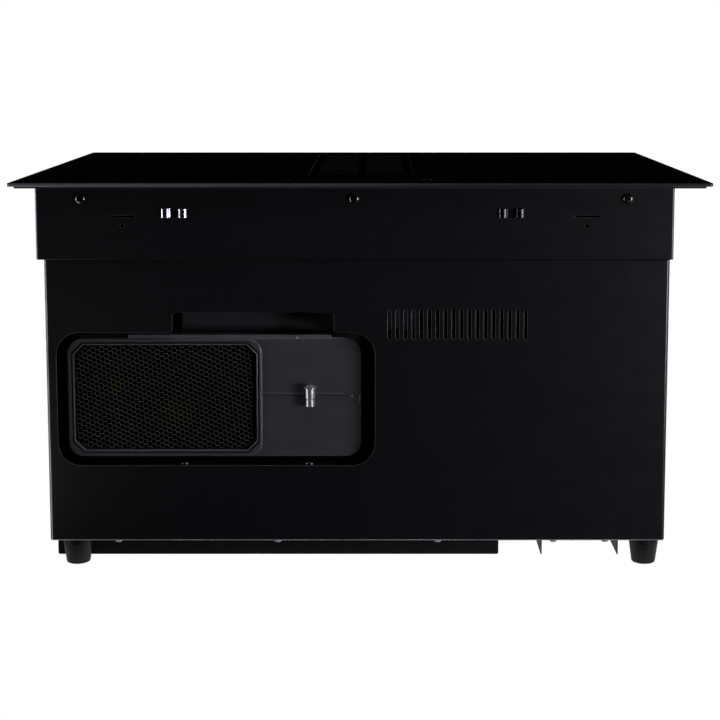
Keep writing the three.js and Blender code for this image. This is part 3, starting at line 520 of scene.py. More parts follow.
# painted light: faces of the housing that look up are paler, standing in for light from above
HOUSING = MouldedPlastic(
    "housing_plastic", Slot.PLASTIC, (0.06, 0.06, 0.062), 0.36, mottle_size=0.06, grain_size=0.0007,
    flow=0.18, painted_light=(0.3, 0.3, 0.305),
)
# painted highlight: a paler plastic for the collar's rounded edges, the window's rim and the lip on the upper
# edge
HOUSING_HIGHLIGHT = replace(
    HOUSING, name="housing_plastic_painted_highlight", color=(0.1, 0.1, 0.104), roughness=0.3, mottle_size=0.03,
    grain_depth=0.00001, flow=0.4, painted_light=None,
)
PLENUM_PLASTIC = MouldedPlastic(
    "plenum_plastic", Slot.PLASTIC, (0.025, 0.025, 0.0262), 0.5, grain_size=0.0009, grain_depth=0.00003,
)
DARK_PLASTIC = replace(
    PLENUM_PLASTIC, name="dark_plastic", color=(0.012, 0.012, 0.0125), grain_depth=0.00004
)
# painted light: paler yellowish patches on the honeycomb walls
HONEYCOMB = LightPatchedCarbon(
    "honeycomb_wall", Slot.CARBON, (0.108, 0.108, 0.107), 0.34, painted_light=(0.14, 0.136, 0.072),
    grain_size=0.0005, grain_depth=0.00005,
)
# painted shade: a darker finish for the wall tops that face away from the light, with dimmer painted light
# patches
HONEYCOMB_SHADED_WALL = replace(
    HONEYCOMB, name="honeycomb_wall_painted_shade", color=(0.042,) * 3, roughness=0.4, specular=0.3,
    painted_light=(0.06, 0.058, 0.032),
)
# the granule bed at each cell's floor, also used as painted shade on the cells' inner walls; yellowish
# patches of painted light
GRANULES_AND_CELL_SHADE = LightPatchedCarbon(
    "carbon_granules_and_painted_cell_shade", Slot.CARBON, (0.002,) * 3, 0.7, specular=0.0, grain_size=0.0015, grain_depth=0.0004,
)
RUBBER = Finish(
    "foot_rubber", Slot.RUBBER, (0.012, 0.012, 0.0122), 0.22, specular=0.9, mottle=0.15,
    mottle_size=0.01, grain_size=0.0009, grain_depth=0.00003,
)
LIP_SCREW_STEEL = BrushedMetal(
    "oiled_screw_steel", Slot.ZINC, (0.11, 0.11, 0.105), 0.16, mottle=0.3, mottle_size=0.002,
    smudge=0.05, smudge_size=0.002, grain_size=0.0004, grain_depth=0.00001,
)
SCREW_STEEL = replace(
    LIP_SCREW_STEEL, name="blackened_screw_steel", slot=Slot.DARK_STEEL, color=(0.2, 0.19, 0.17),
    roughness=0.24, smudge=0.08, grain_depth=0.00002,
)
# painted glint: a pale, half-metallic steel that shows as bright glints on the base screws and the seam
# blocks
GLINT_STEEL = BrushedMetal(
    "pale_steel_painted_glint", Slot.ZINC, (0.75, 0.75, 0.76), 0.34, metallic=0.4, mottle=0.06, smudge=0.05,
    smudge_size=0.003, grain_size=0.0004, grain_depth=0.00001,
)
BRIGHT_STEEL = BrushedMetal(
    "bright_spring_steel", Slot.BRIGHT_STEEL, (0.6, 0.61, 0.62), 0.24, mottle=0.05, smudge=0.05,
    smudge_size=0.004, grain_size=0.0003, grain_depth=0.000008, stretch=(1, 1, 0.05),
)
# painted reflection: the pin steel is partly lit like paint, so its middle shows grey
PIN_STEEL = replace(BRIGHT_STEEL, name="turned_pin_steel", roughness=0.3, metallic=0.78, smudge=0.04)
# painted shade: a darker copy of the bright spring steel, for the second clip on each wall
SHADED_SPRING_STEEL = replace(
    BRIGHT_STEEL, name="spring_steel_painted_shade", color=(0.06, 0.06, 0.064), roughness=0.3, mottle=0.1,
    smudge=0.06, grain_depth=0.00001,
)
ZINC = BrushedMetal(
    "zinc_plate", Slot.ZINC, (0.5, 0.51, 0.52), 0.3, mottle=0.12, mottle_size=0.01, smudge=0.08,
    smudge_size=0.008, grain_size=0.0005,
)
ALUMINIUM = BrushedMetal(
    "brushed_aluminium", Slot.ALUMINIUM, (0.58, 0.59, 0.6), 0.34, mottle=0.06, grain_size=0.0005,
    stretch=(1, 0.05, 1),
)
CIRCUIT = BoardLacquer("circuit_lacquer", Slot.CIRCUIT, (0.012, 0.08, 0.03), 0.35, grain_size=0.002)


# ------------------------------------------------------------------------------ shaping tools


def arc(middle: Point, radius: float, start: float, end: float, steps: int) -> list[Point]:
    """Returns the points of an arc from one angle in degrees to another, ends included."""
    angles = (math.radians(start + (end - start) * i / steps) for i in range(steps + 1))
    return [(middle[0] + radius * math.cos(a), middle[1] + radius * math.sin(a)) for a in angles]


def ring(middle: Point, radius: float, steps: int) -> list[Point]:
    """Returns the points of a circle, without a doubled last point."""
    return arc(middle, radius, 0, 360, steps)[:-1]


def rounded(low: Point, high: Point, radius: float, steps: int) -> list[Point]:
    """Outlines a rectangle with round corners.

    Args:
        low: lower left corner.
        high: upper right corner.
        radius: corner radius.
        steps: chords to a corner; one makes a chamfer.

    Returns:
        The outline's points, anticlockwise.
    """
    x, y = (low[0] + radius, high[0] - radius), (low[1] + radius, high[1] - radius)
    corners = ((x[0], y[0], 180), (x[1], y[0], 270), (x[1], y[1], 0), (x[0], y[1], 90))
    return [point for cx, cy, start in corners for point in arc((cx, cy), radius, start, start + 90, steps)]


def on_front(points: Iterable[Point], y: float) -> list[Vector]:
    """Lifts points of X and Z into the plane at y."""
    return [Vector((x, y, z)) for x, z in points]


def on_level(points: Iterable[Point], z: float) -> list[Vector]:
    """Lifts points of X and Y into the plane at z."""
    return [Vector((x, y, z)) for x, y in points]


def middle_of(node: str) -> Vector:
    """Returns the middle of a node's box."""
    low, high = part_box(node)
    return (low + high) / 2


def half_width(node: str) -> float:
    """Returns half of a node's extent along X."""
    low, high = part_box(node)
    return (high.x - low.x) / 2


def facing(direction: Vector, point: Sequence[float], turn: float = 0.0) -> Matrix:
    """Returns the matrix that puts a piece's Z axis along a direction at a point, turned by degrees."""
    swing = direction.to_track_quat("Z", "Y").to_matrix().to_4x4()
    return Matrix.Translation(point) @ swing @ Matrix.Rotation(math.radians(turn), 4, "Z")


def in_left_bend_highlight(face: BMFace) -> bool:
    """Tells whether a face lies in the strip of a left bend that gets a painted highlight."""
    return -0.5 < face.normal.x < -0.3


class Form:
    """A mesh under work, with the shaping steps that the pieces share."""

    def __init__(self) -> None:
        """Starts with nothing."""
        self.bm = bmesh.new()

    def block(self, low: Sequence[float], high: Sequence[float]) -> None:
        """Adds a box given by its lowest and its highest corner."""
        size, middle = Vector(high) - Vector(low), (Vector(low) + Vector(high)) / 2
        ops.create_cube(self.bm, size=1.0, matrix=Matrix.Translation(middle) @ Matrix.Diagonal((*size, 1)))

    def path(self, points: Iterable[Sequence[float]], closed: bool = True) -> list[BMEdge]:
        """Adds edges from point to point.

        Args:
            points: the points.
            closed: whether an edge joins the last point to the first.

        Returns:
            The edges.
        """
        corners = [self.bm.verts.new(point) for point in points]
        ends = corners[1:] + (corners[:1] if closed else [])
        return [self.bm.edges.new(pair) for pair in zip(corners, ends)]

    def disc(self, radius: float, sides: int, height: float = 0.0) -> BMFace:
        """Adds a flat face with equal sides that looks up.

        Args:
            radius: distance from the Z axis to its corners.
            sides: number of sides.
            height: its height.

        Returns:
            The face.
        """
        place = Matrix.Translation((0, 0, height))
        made = ops.create_circle(self.bm, cap_ends=True, segments=sides, radius=radius, matrix=place)
        self.bm.normal_update()
        face = made["verts"][0].link_faces[0]
        if face.normal.z < 0:
            ops.reverse_faces(self.bm, faces=[face])
            self.bm.normal_update()
        return face

    def open_box(
        self, low: Vector, high: Vector, mouth: Vector, bend: float, upright: float, steps: int = 4
    ) -> None:
        """Adds a box with one side open and its folds bent round.

        Args:
            low: lowest corner.
            high: highest corner.
            mouth: direction of the open side.
            bend: outer radius of the level folds.
            upright: outer radius of the upright folds.
            steps: faces across a level fold.
        """
        self.block(low, high)
        self.bm.normal_update()
        away = [f for f in self.bm.faces if f.normal.dot(mouth) > 0.9]
        ops.delete(self.bm, geom=away, context="FACES")
        folds = [e for e in self.bm.edges if len(e.link_faces) == 2]
        self.bevel([e for e in folds if abs(e.verts[0].co.z - e.verts[1].co.z) > 0.001], upright, steps + 2)
        self.bevel(self.sharp(60), bend, steps)

    def bevel(self, edges: Sequence[BMEdge], width: float, steps: int) -> None:
        """Rounds edges over a width with a number of faces."""
        ops.bevel(
            self.bm, geom=list(edges), offset=width, offset_type="OFFSET", segments=steps, profile=0.5,
            affect="EDGES", clamp_overlap=True, material=-1,
        )
        self.bm.normal_update()

    def inset(self, face: BMFace, width: float) -> None:
        """Insets a face that stands alone."""
        ops.inset_region(self.bm, faces=[face], thickness=width, use_even_offset=True, use_boundary=True)

    def flat(self, normal: Vector) -> BMFace:
        """Returns the largest face that looks along a direction."""
        return max((f for f in self.bm.faces if f.normal.dot(normal) > 0.999), key=lambda f: f.calc_area())

    def pierce(
        self, face: BMFace, holes: Sequence[Sequence[Vector]], margin: float = 0.0008
    ) -> list[list[BMEdge]]:
        """Cuts holes through a flat face.

        Args:
            face: the face.
            holes: outline of each hole, in the face's plane.
            margin: width of the plain strip that is kept along the face's rim.

        Returns:
            The edges of each hole.
        """
        bm, normal = self.bm, face.normal.copy()
        ops.inset_region(bm, faces=[face], thickness=margin, use_even_offset=True)
        rim = list(face.edges)
        ops.delete(bm, geom=[face], context="FACES_ONLY")
        loops = [self.path(hole) for hole in holes]
        edges = rim + [edge for loop in loops for edge in loop]
        made = ops.triangle_fill(bm, use_beauty=True, use_dissolve=False, edges=edges, normal=normal)
        filled = [g for g in made["geom"] if isinstance(g, BMFace)]
        bm.normal_update()
        ops.reverse_faces(bm, faces=[f for f in filled if f.normal.dot(normal) < 0])
        bm.normal_update()
        return loops

    def since(self, before: set[BMVert]) -> list[BMVert]:
        """Returns the corners that weren't there before."""
        return [v for v in self.bm.verts if v not in before]

    def settle(self, before: set[BMVert], place: Matrix) -> None:
        """Turns the faces that weren't there before outwards and moves them to their place.

        Args:
            before: the corners that were there before.
            place: where the new faces go.
        """
        fresh = self.since(before)
        ops.recalc_face_normals(self.bm, faces=list({f for v in fresh for f in v.link_faces}))
        ops.transform(self.bm, matrix=place, verts=fresh)

    def lathe(self, profile: Sequence[Point], place: Matrix, steps: int) -> None:
        """Turns a profile about a piece's own Z axis.

        Args:
            profile: radius and height pairs; the ends lie on the axis, or the profile closes.
            place: where the piece goes.
            steps: sides of the turned shape.
        """
        before = set(self.bm.verts)
        edges = self.path([(radius, 0, height) for radius, height in profile], profile[0][0] > 0)
        ops.spin(
            self.bm, geom=self.since(before) + edges, cent=(0, 0, 0), axis=(0, 0, 1), angle=math.tau,
            steps=steps, use_merge=True,
        )
        ops.remove_doubles(self.bm, verts=self.since(before), dist=1e-7)
        self.settle(before, place)

    def pull(
        self, edges: Sequence[BMEdge], scale: float, shift: Vector, middle: Vector | None = None
    ) -> list[BMEdge]:
        """Extrudes a loop of edges, scales the new loop about a point and moves it.

        Args:
            edges: the loop.
            scale: factor about the middle.
            shift: how far the new loop moves.
            middle: the point that the loop is scaled about, or the origin.

        Returns:
            The new loop's edges.
        """
        made = ops.extrude_edge_only(self.bm, edges=list(edges))["geom"]
        corners = [g for g in made if isinstance(g, BMVert)]
        space = Matrix.Translation(-(middle or Vector()))
        ops.scale(self.bm, vec=(scale,) * 3, space=space, verts=corners)
        ops.translate(self.bm, vec=shift, verts=corners)
        return [g for g in made if isinstance(g, BMEdge)]

    def repeat(self, offset: Vector, doublings: int) -> None:
        """Doubles the whole mesh again and again along a step.

        Args:
            offset: the step from one copy to the next.
            doublings: how often the mesh is doubled.
        """
        for turn in range(doublings):
            made = ops.duplicate(self.bm, geom=[*self.bm.verts, *self.bm.edges, *self.bm.faces])["geom"]
            corners = [g for g in made if isinstance(g, BMVert)]
            ops.translate(self.bm, vec=offset * 2**turn, verts=corners)

    def trim(self, point: Sequence[float], normal: Vector) -> None:
        """Cuts away what lies past a plane, given by a point and the direction towards what goes."""
        geometry = [*self.bm.verts, *self.bm.edges, *self.bm.faces]
        ops.bisect_plane(
            self.bm, geom=geometry, dist=1e-7, plane_co=point, plane_no=normal, clear_outer=True
        )

    def sharp(self, angle: float) -> list[BMEdge]:
        """Returns the edges whose faces meet at more than an angle, in degrees."""
        limit = math.radians(angle)
        return [e for e in self.bm.edges if len(e.link_faces) == 2 and e.calc_face_angle() > limit]


@dataclass(frozen=True)
class Bench:
    """The bench where forms become pieces of the scene.

    Args:
        nodes: the frame's nodes by name.
        crease: angle in degrees past which an edge is shaded sharp.
    """

    nodes: dict[str, Object]
    crease: float = 38.0

    def recast(self, node: str) -> Form:
        """Starts a form from a copy of a node, with its triangles joined into flat faces.

        Args:
            node: the node's name.

        Returns:
            The form.
        """
        form = Form()
        form.bm.from_mesh(self.nodes[node].data)
        ops.remove_doubles(form.bm, verts=form.bm.verts, dist=2e-6)
        ops.dissolve_limit(
            form.bm, angle_limit=math.radians(0.6), use_dissolve_boundaries=False, verts=form.bm.verts,
            edges=form.bm.edges, delimit=set(),
        )
        form.bm.normal_update()
        return form

    def place(
        self,
        form: Form,
        name: str,
        finishes: Sequence[Finish],
        body: Body = Body.CHASSIS,
        stands_for: Sequence[str] = (),
        wall: float = 0.0,
        edge: float = 0.0,
        edge_angle: float = 50.0,
        edge_finish: int = -1,
        edge_steps: int = 2,
    ) -> None:
        """Turns a form into a piece of the scene.

        Args:
            form: the shape; it is used up.
            name: the piece's name.
            finishes: its finishes, in the order of its material indices.
            body: the body that it rides on.
            stands_for: the nodes that it replaces.
            wall: thickness that is added inwards, or 0.
            edge: width of the rounding of its sharp edges, or 0.
            edge_angle: angle in degrees past which an edge is rounded.
            edge_finish: index of the rounded edges' finish, or -1 for that of their faces.
            edge_steps: faces across the rounding.
        """
        mesh = bpy.data.meshes.new(name)
        form.bm.to_mesh(mesh)
        form.bm.free()
        for finish in finishes:
            mesh.materials.append(finish.material())
        mesh.shade_smooth()
        mesh.set_sharp_from_angle(angle=math.radians(self.crease))
        piece = bpy.data.objects.new(name, mesh)
        bpy.context.scene.collection.objects.link(piece)
        if wall:
            thicken = piece.modifiers.new("wall", "SOLIDIFY")
            thicken.thickness = wall
            thicken.offset = -1
            thicken.use_even_offset = True
        if edge:
            soften = piece.modifiers.new("edge", "BEVEL")
            soften.width = edge
            soften.segments = edge_steps
            soften.limit_method = "ANGLE"
            soften.angle_limit = math.radians(edge_angle)
            soften.material = edge_finish
            soften.use_clamp_overlap = False
        even = piece.modifiers.new("even_shading", "WEIGHTED_NORMAL")
        even.keep_sharp = True
        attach(piece, body.value)
        if stands_for:
            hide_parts(*stands_for)
        log.info("%s: %d faces on %s", name, len(mesh.polygons), body.value)

    def dress(self, finish: Finish, *nodes: str) -> None:
        """Gives frame nodes a finish and leaves their shape alone.

        Args:
            finish: the finish.
            nodes: the nodes' names.
        """
        for name in nodes:
            data = self.nodes[name].data
            data.materials.clear()
            data.materials.append(finish.material())
            log.info("%s: kept, in %s", name, finish.name)

    def soften(self, node: str, finish: Finish, edge: float, body: Body = Body.CHASSIS) -> None:
        """Replaces a node by a copy of itself whose edges are rounded over a width."""
        form = self.recast(node)
        self.place(form, f"{node}_skin", [finish], body, [node], edge=edge, edge_angle=SHARP)


@dataclass(frozen=True)
class PanHeadScrew:
    """A pan-head screw with a cross recess.

    Args:
        radius: radius of the head.
        height: height of the head.
        shank: radius of the shank.
        length: length of the shank that is shown.
        arm: half width of the recess's arms.
        steps: sides of the head.
        flat: share of the radius that the flat top takes up.
        reach: share of the flat top that the recess takes up.
        margin: share of the flat top that stays plain along its rim.
        sink: share of the height that the recess sinks, and share of its width left at its floor.
        crown: share of the height over which the head's rim rounds down.
    """

    radius: float
    height: float
    shank: float
    length: float
    arm: float = 0.0004
    steps: int = 24
    flat: float = 0.62
    reach: float = 0.62
    margin: float = 0.12
    sink: float = 0.55
    crown: float = 0.75

    def add(self, form: Form, place: Matrix) -> None:
        """Adds the screw to a form.

        Args:
            form: the form.
            place: where the head's seat goes; the head points along its Z axis.
        """
        before = set(form.bm.verts)
        flat = self.radius * self.flat
        face = form.disc(flat, self.steps, self.height)
        loop = list(face.edges)
        (cross,) = form.pierce(face, [self.cross(flat * self.reach)], margin=flat * self.margin)
        top = Vector((0, 0, self.height))
        floor = form.pull(cross, self.sink, DOWN * self.height * self.sink, top)
        ops.contextual_create(form.bm, geom=floor)
        radius, level = flat, self.height
        for share in (0.35, 0.7, 1.0):
            angle = share * math.pi / 2
            wider = flat + (self.radius - flat) * math.sin(angle)
            lower = self.height - self.height * self.crown * (1 - math.cos(angle))
            loop = form.pull(loop, wider / radius, DOWN * (level - lower), Vector((0, 0, level)))
            radius, level = wider, lower
        loop = form.pull(loop, 1.0, DOWN * level)
        loop = form.pull(loop, self.shank / self.radius, Vector())
        loop = form.pull(loop, 1.0, DOWN * self.length)
        ops.contextual_create(form.bm, geom=loop)
        form.settle(before, place)

    def cross(self, reach: float) -> list[Vector]:
        """Outlines the recess.

        Args:
            reach: radius that its arms reach out to.

        Returns:
            The outline's points.
        """
        quarter = [(reach, -self.arm), (reach, self.arm), (self.arm, self.arm)]
        turns = [Matrix.Rotation(turn * math.pi / 2, 3, "Z") for turn in range(4)]
        return [spin @ Vector((x, y, self.height)) for spin in turns for x, y in quarter]

    def stand_for(self, bench: Bench, node: str, finish: Finish, place: Matrix) -> None:
        """Puts the screw in a node's stead.

        Args:
            bench: the bench.
            node: the node's name.
            finish: the screw's finish.
            place: where the head's seat goes.
        """
        form = Form()
        self.add(form, place)
        bench.place(form, f"{node}_head", [finish], stands_for=[node])


# ------------------------------------------------------------------------------- sub-assemblies


@dataclass(frozen=True)
class GlassTop:
    """The glass sheet, its printed marks and the seal under its rim.

    Args:
        arris: radius of the pencil rounding along the glass edges.
        level: Z of a normal past which a face counts as one of the two large ones.
        print_height: how far the print stands on the glass.
        line: width of a zone mark's line.
        mark_arm: length of a zone mark's short arm, along the front.
        mark_leg: length of its long arm, towards the back.
        zone_x: X of the zones' inner and outer edge.
        zone_y: Y of the zones' front and back edge.
        cross_arm: half width of the cross on a coil.
        key_shares: places of the keys, as shares of the control board's half width.
        key_gap: distance from a key's middle to its plus and to its minus.
        key_arm: half width of a plus or minus.
        key_line: half the width of its line.
        dot_shares: places of the round marks, as shares of that half width.
        dot: inner and outer radius of a round mark.
    """

    arris: float = 0.0016
    level: float = 0.95
    print_height: float = 0.00004
    line: float = 0.0022
    mark_arm: float = 0.029
    mark_leg: float = 0.1
    zone_x: Point = (0.1, 0.309)
    zone_y: Point = (-0.1755, 0.222)
    cross_arm: float = 0.0066
    key_shares: tuple[float, ...] = (-0.72, -0.24, 0.24, 0.72)
    key_gap: float = 0.012
    key_arm: float = 0.0035
    key_line: float = 0.0005
    dot_shares: tuple[float, ...] = (-0.5, 0.0, 0.5)
    dot: Point = (0.0042, 0.0052)

    def build(self, bench: Bench) -> None:
        """Builds the glass, the seal and the marks.

        Args:
            bench: the bench.
        """
        form = bench.recast("glass_top")
        for face in form.bm.faces:
            face.material_index = 0 if abs(face.normal.z) > self.level else 1
        bench.place(
            form, "glass_sheet", [GLASS, GLASS_EDGE], stands_for=["glass_top"], edge=self.arris,
            edge_finish=1, edge_steps=5,
        )
        bench.dress(SEAL_FOAM, "glass_seal")
        marks = Form()
        self.print_zones(marks)
        self.print_keys(marks)
        bench.place(marks, "zone_marks", [ZONE_PRINT])

    def strip(self, form: Form, first: Point, last: Point) -> None:
        """Prints one bar between two corners of X and Y.

        Args:
            form: the form.
            first: one corner.
            last: the corner across from it.
        """
        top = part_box("glass_top")[1].z
        (x0, x1), (y0, y1) = (sorted(pair) for pair in zip(first, last))
        form.block((x0, y0, top - self.print_height), (x1, y1, top + self.print_height))

    def cross(self, form: Form, x: float, y: float, arm: float, half: float) -> None:
        """Prints a cross at a place, with the half width of its arms and of their line.

        Args:
            form: the form.
            x: X of its middle.
            y: Y of its middle.
            arm: half its width.
            half: half the width of its line.
        """
        bars = ((-arm, -half, arm, half), (-half, half, half, arm), (-half, -arm, half, -half))
        for x0, y0, x1, y1 in bars:
            self.strip(form, (x + x0, y + y0), (x + x1, y + y1))

    def print_zones(self, form: Form) -> None:
        """Prints a mark at each zone corner and a cross on each coil.

        Args:
            form: the form.
        """
        line = self.line
        for side, place in ((-1, "left"), (1, "right")):
            for x, inward in ((side * self.zone_x[1], -side), (side * self.zone_x[0], side)):
                for y, away in zip(self.zone_y, (1, -1)):
                    self.strip(form, (x, y), (x + inward * self.mark_arm, y + away * line))
                    self.strip(form, (x, y + away * line), (x + inward * line, y + away * self.mark_leg))
            for depth in ("front", "back"):
                middle = middle_of(f"coil_{place}_{depth}")
                self.cross(form, middle.x, middle.y, self.cross_arm, line / 2)

    def print_keys(self, form: Form) -> None:
        """Prints plus, minus and round touch marks over the control board.

        Args:
            form: the form.
        """
        y, half = middle_of("control_board").y, half_width("control_board")
        arm, line = self.key_arm, self.key_line
        for x in (share * half for share in self.key_shares):
            minus = x - self.key_gap
            self.strip(form, (minus - arm, y - line), (minus + arm, y + line))
            self.cross(form, x + self.key_gap, y, arm, line)
        top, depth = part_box("glass_top")[1].z, self.print_height
        inner, outer = self.dot
        profile = [(inner, top - depth), (outer, top - depth), (outer, top + depth), (inner, top + depth)]
        for share in self.dot_shares:
            form.lathe(profile, Matrix.Translation((share * half, y, 0)), 32)


@dataclass(frozen=True)
class UpperCasing:
    """The folded tray under the glass, with its screws, clamp slots and spring clips.

    Args:
        sheet: thickness of the sheet.
        bend: outer radius of the level folds.
        upright: outer radius of the upright folds.
        edge: rounding of the painted cut edges.
        slot_span: distance between the two clamp slots.
        slot: width and height of a clamp slot.
        slot_drop: depth of the slots below the tray's rim.
        hole: radius of the clamp holes.
        hole_drop: depth of the holes below the slots.
        bore: radius of the screws' holes.
        nick: radius of the small nick over each screw.
        nick_drop: depth of the nicks below the rim.
        window_margin: gap round a clip's humps in its window.
        window_corner: radius of a window's corners.
        slot_corner: radius of a clamp slot's corners.
        vent_corner: radius of the vent's corners in the floor.
        port_rim: width of the floor that stays under the fan frame's rim.
        sunk: how far a screw's head sits in the sheet.
        head_gap: how much smaller in radius than its node a screw's head is.
        turn: angle in degrees of the middle screw's recess.
    """

    sheet: float = 0.001
    bend: float = 0.0012
    upright: float = 0.0026
    edge: float = 0.0003
    slot_span: float = 0.513
    slot: Point = (0.028, 0.0025)
    slot_drop: float = 0.0341
    hole: float = 0.0024
    hole_drop: float = 0.0106
    bore: float = 0.0026
    nick: float = 0.0008
    nick_drop: float = 0.0028
    window_margin: float = 0.0006
    window_corner: float = 0.0012
    slot_corner: float = 0.0004
    vent_corner: float = 0.002
    port_rim: float = 0.005
    sunk: float = 0.0003
    head_gap: float = 0.0002
    turn: float = 38.0

    def build(self, bench: Bench) -> None:
        """Builds the tray, its screws and its clips.

        Args:
            bench: the bench.
        """
        low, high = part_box("upper_casing")
        form = Form()
        form.open_box(low, high, UP, self.bend, self.upright)
        form.pierce(form.flat(FRONT), self.front_holes(low, high))
        form.pierce(form.flat(BACK), [self.window(f"spring_clip_rear_{i}", high.y) for i in (1, 2)])
        form.pierce(form.flat(DOWN), self.floor_holes(low.z))
        # painted highlight: the left bend's front strip gets the near-white coat, the cut edges the paler one
        for face in form.bm.faces:
            face.material_index = 2 if in_left_bend_highlight(face) and face.normal.y < 0 else 0
        bench.place(
            form, "casing_tray", [PAINT, EDGE_HIGHLIGHT_PAINT, BEND_HIGHLIGHT_PAINT], stands_for=["upper_casing"],
            wall=self.sheet, edge=self.edge, edge_finish=1,
        )
        for index in (1, 2, 3):
            node = f"casing_screw_{index}"
            middle, seat = middle_of(node), low.y - self.sunk
            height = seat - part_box(node)[0].y
            radius = half_width(node) - self.head_gap
            head = PanHeadScrew(radius, height, shank=0.0021, length=0.008, arm=0.00055)
            place = facing(FRONT, (middle.x, seat, middle.z), self.turn * (1 + middle.x))
            head.stand_for(bench, node, SCREW_STEEL, place)
        for side in ("front", "rear"):
            # painted shade: the second clip on each wall gets the darker copy of the spring steel
            for index, finish in ((1, BRIGHT_STEEL), (2, SHADED_SPRING_STEEL)):
                ClipLeaf().place(bench, f"spring_clip_{side}_{index}", Body(f"clip_{side}_{index}"), finish)

    def window(self, clip: str, y: float) -> list[Vector]:
        """Returns the outline of a clip's window in the wall at y.

        Args:
            clip: the clip's node.
            y: Y of the wall.

        Returns:
            The outline.
        """
        leaf, gap = ClipLeaf(), self.window_margin
        low, high = leaf.reach(clip)
        corners = ((low.x + leaf.foot - gap, low.z - gap), (high.x - leaf.foot + gap, high.z + gap))
        return on_front(rounded(*corners, self.window_corner, 3), y)

    def front_holes(self, low: Vector, high: Vector) -> list[list[Vector]]:
        """Outlines all the holes in the tray's front.

        Args:
            low: lowest corner of the tray.
            high: highest corner of the tray.

        Returns:
            The outlines.
        """
        holes = []
        for index in (1, 2, 3):
            spot = middle_of(f"casing_screw_{index}")
            holes.append(ring((spot.x, spot.z), self.bore, 14))
            holes.append(ring((spot.x, high.z - self.nick_drop), self.nick, 8))
        width, height = self.slot
        for side in (-1, 1):
            x, z = (low.x + high.x) / 2 + side * self.slot_span / 2, high.z - self.slot_drop
            corners = ((x - width / 2, z - height / 2), (x + width / 2, z + height / 2))
            holes.append(rounded(*corners, self.slot_corner, 2))
            holes.append(ring((x, z - self.hole_drop), self.hole, 18))
        windows = [self.window(f"spring_clip_front_{i}", low.y) for i in (1, 2)]
        return windows + [on_front(hole, low.y) for hole in holes]

    def floor_holes(self, z: float) -> list[list[Vector]]:
        """Returns the outlines of the vent and of the fan port in the tray's floor.

        Args:
            z: Z of the floor.

        Returns:
            The outlines.
        """
        low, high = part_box("grease_filter")
        fan, port = middle_of("cooling_fan_frame"), half_width("cooling_fan_frame") - self.port_rim
        vent = rounded((low.x, low.y), (high.x, high.y), self.vent_corner, 3)
        return [on_level(vent, z), on_level(ring((fan.x, fan.y), port, 48), z)]


@dataclass(frozen=True)
class ClipLeaf:
    """A leaf of spring strip with two round humps.

    Args:
        strip: thickness of the strip.
        foot: length of each flat end.
        hump: width of a hump.
        steps: chords across a hump.
        fullness: power below 1 that makes a hump fuller than a half circle.
        longer: how much longer than its node the strip is, towards the middle of the casing.
        lower: how much lower than its node the strip is.
    """

    strip: float = 0.0006
    foot: float = 0.003
    hump: float = 0.0096
    steps: int = 10
    fullness: float = 0.85
    longer: float = 0.0046
    lower: float = 0.0011

    def reach(self, node: str) -> tuple[Vector, Vector]:
        """Finds the room of the strip that stands for a node.

        Args:
            node: the node's name.

        Returns:
            The lowest and the highest corner.
        """
        low, high = (corner.copy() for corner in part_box(node))
        if low.x < 0:
            high.x += self.longer
        else:
            low.x -= self.longer
        low.z += self.lower
        return low, high

    def place(self, bench: Bench, node: str, body: Body, finish: Finish) -> None:
        """Builds one clip in its node's place.

        Args:
            bench: the bench.
            node: the clip's node.
            body: the body that the clip rides on.
            finish: its finish.
        """
        low, high = self.reach(node)
        outward = -1 if low.y < 0 else 1
        seat = (high.y if outward < 0 else low.y) + outward * self.strip / 2
        proud = (high.y - low.y) - self.strip
        form = Form()
        points = [(x, seat + outward * rise * proud, low.z) for x, rise in self.line(low.x, high.x)]
        form.pull(form.path(points, closed=False), 1.0, UP * (high.z - low.z))
        ops.solidify(form.bm, geom=form.bm.faces[:], thickness=self.strip)
        ops.recalc_face_normals(form.bm, faces=form.bm.faces)
        depths = [v.co.y for v in form.bm.verts]
        shift = (low.y + high.y - min(depths) - max(depths)) / 2
        ops.translate(form.bm, vec=(0, shift, 0), verts=form.bm.verts)
        bench.place(form, f"{node}_leaf", [finish], body, [node], edge=0.00015)

    def line(self, start: float, end: float) -> list[Point]:
        """Draws the leaf's line.

        Args:
            start: X of one end.
            end: X of the other end.

        Returns:
            Places along X, each with its share of the full rise.
        """
        points = [(start, 0.0)]
        for first in (start + self.foot, end - self.foot - self.hump):
            for step in range(self.steps + 1):
                share = step / self.steps
                rise = math.sqrt(max(0.0, 1 - (2 * share - 1) ** 2)) ** self.fullness
                points.append((first + self.hump * share, rise))
        return [*points, (end, 0.0)]


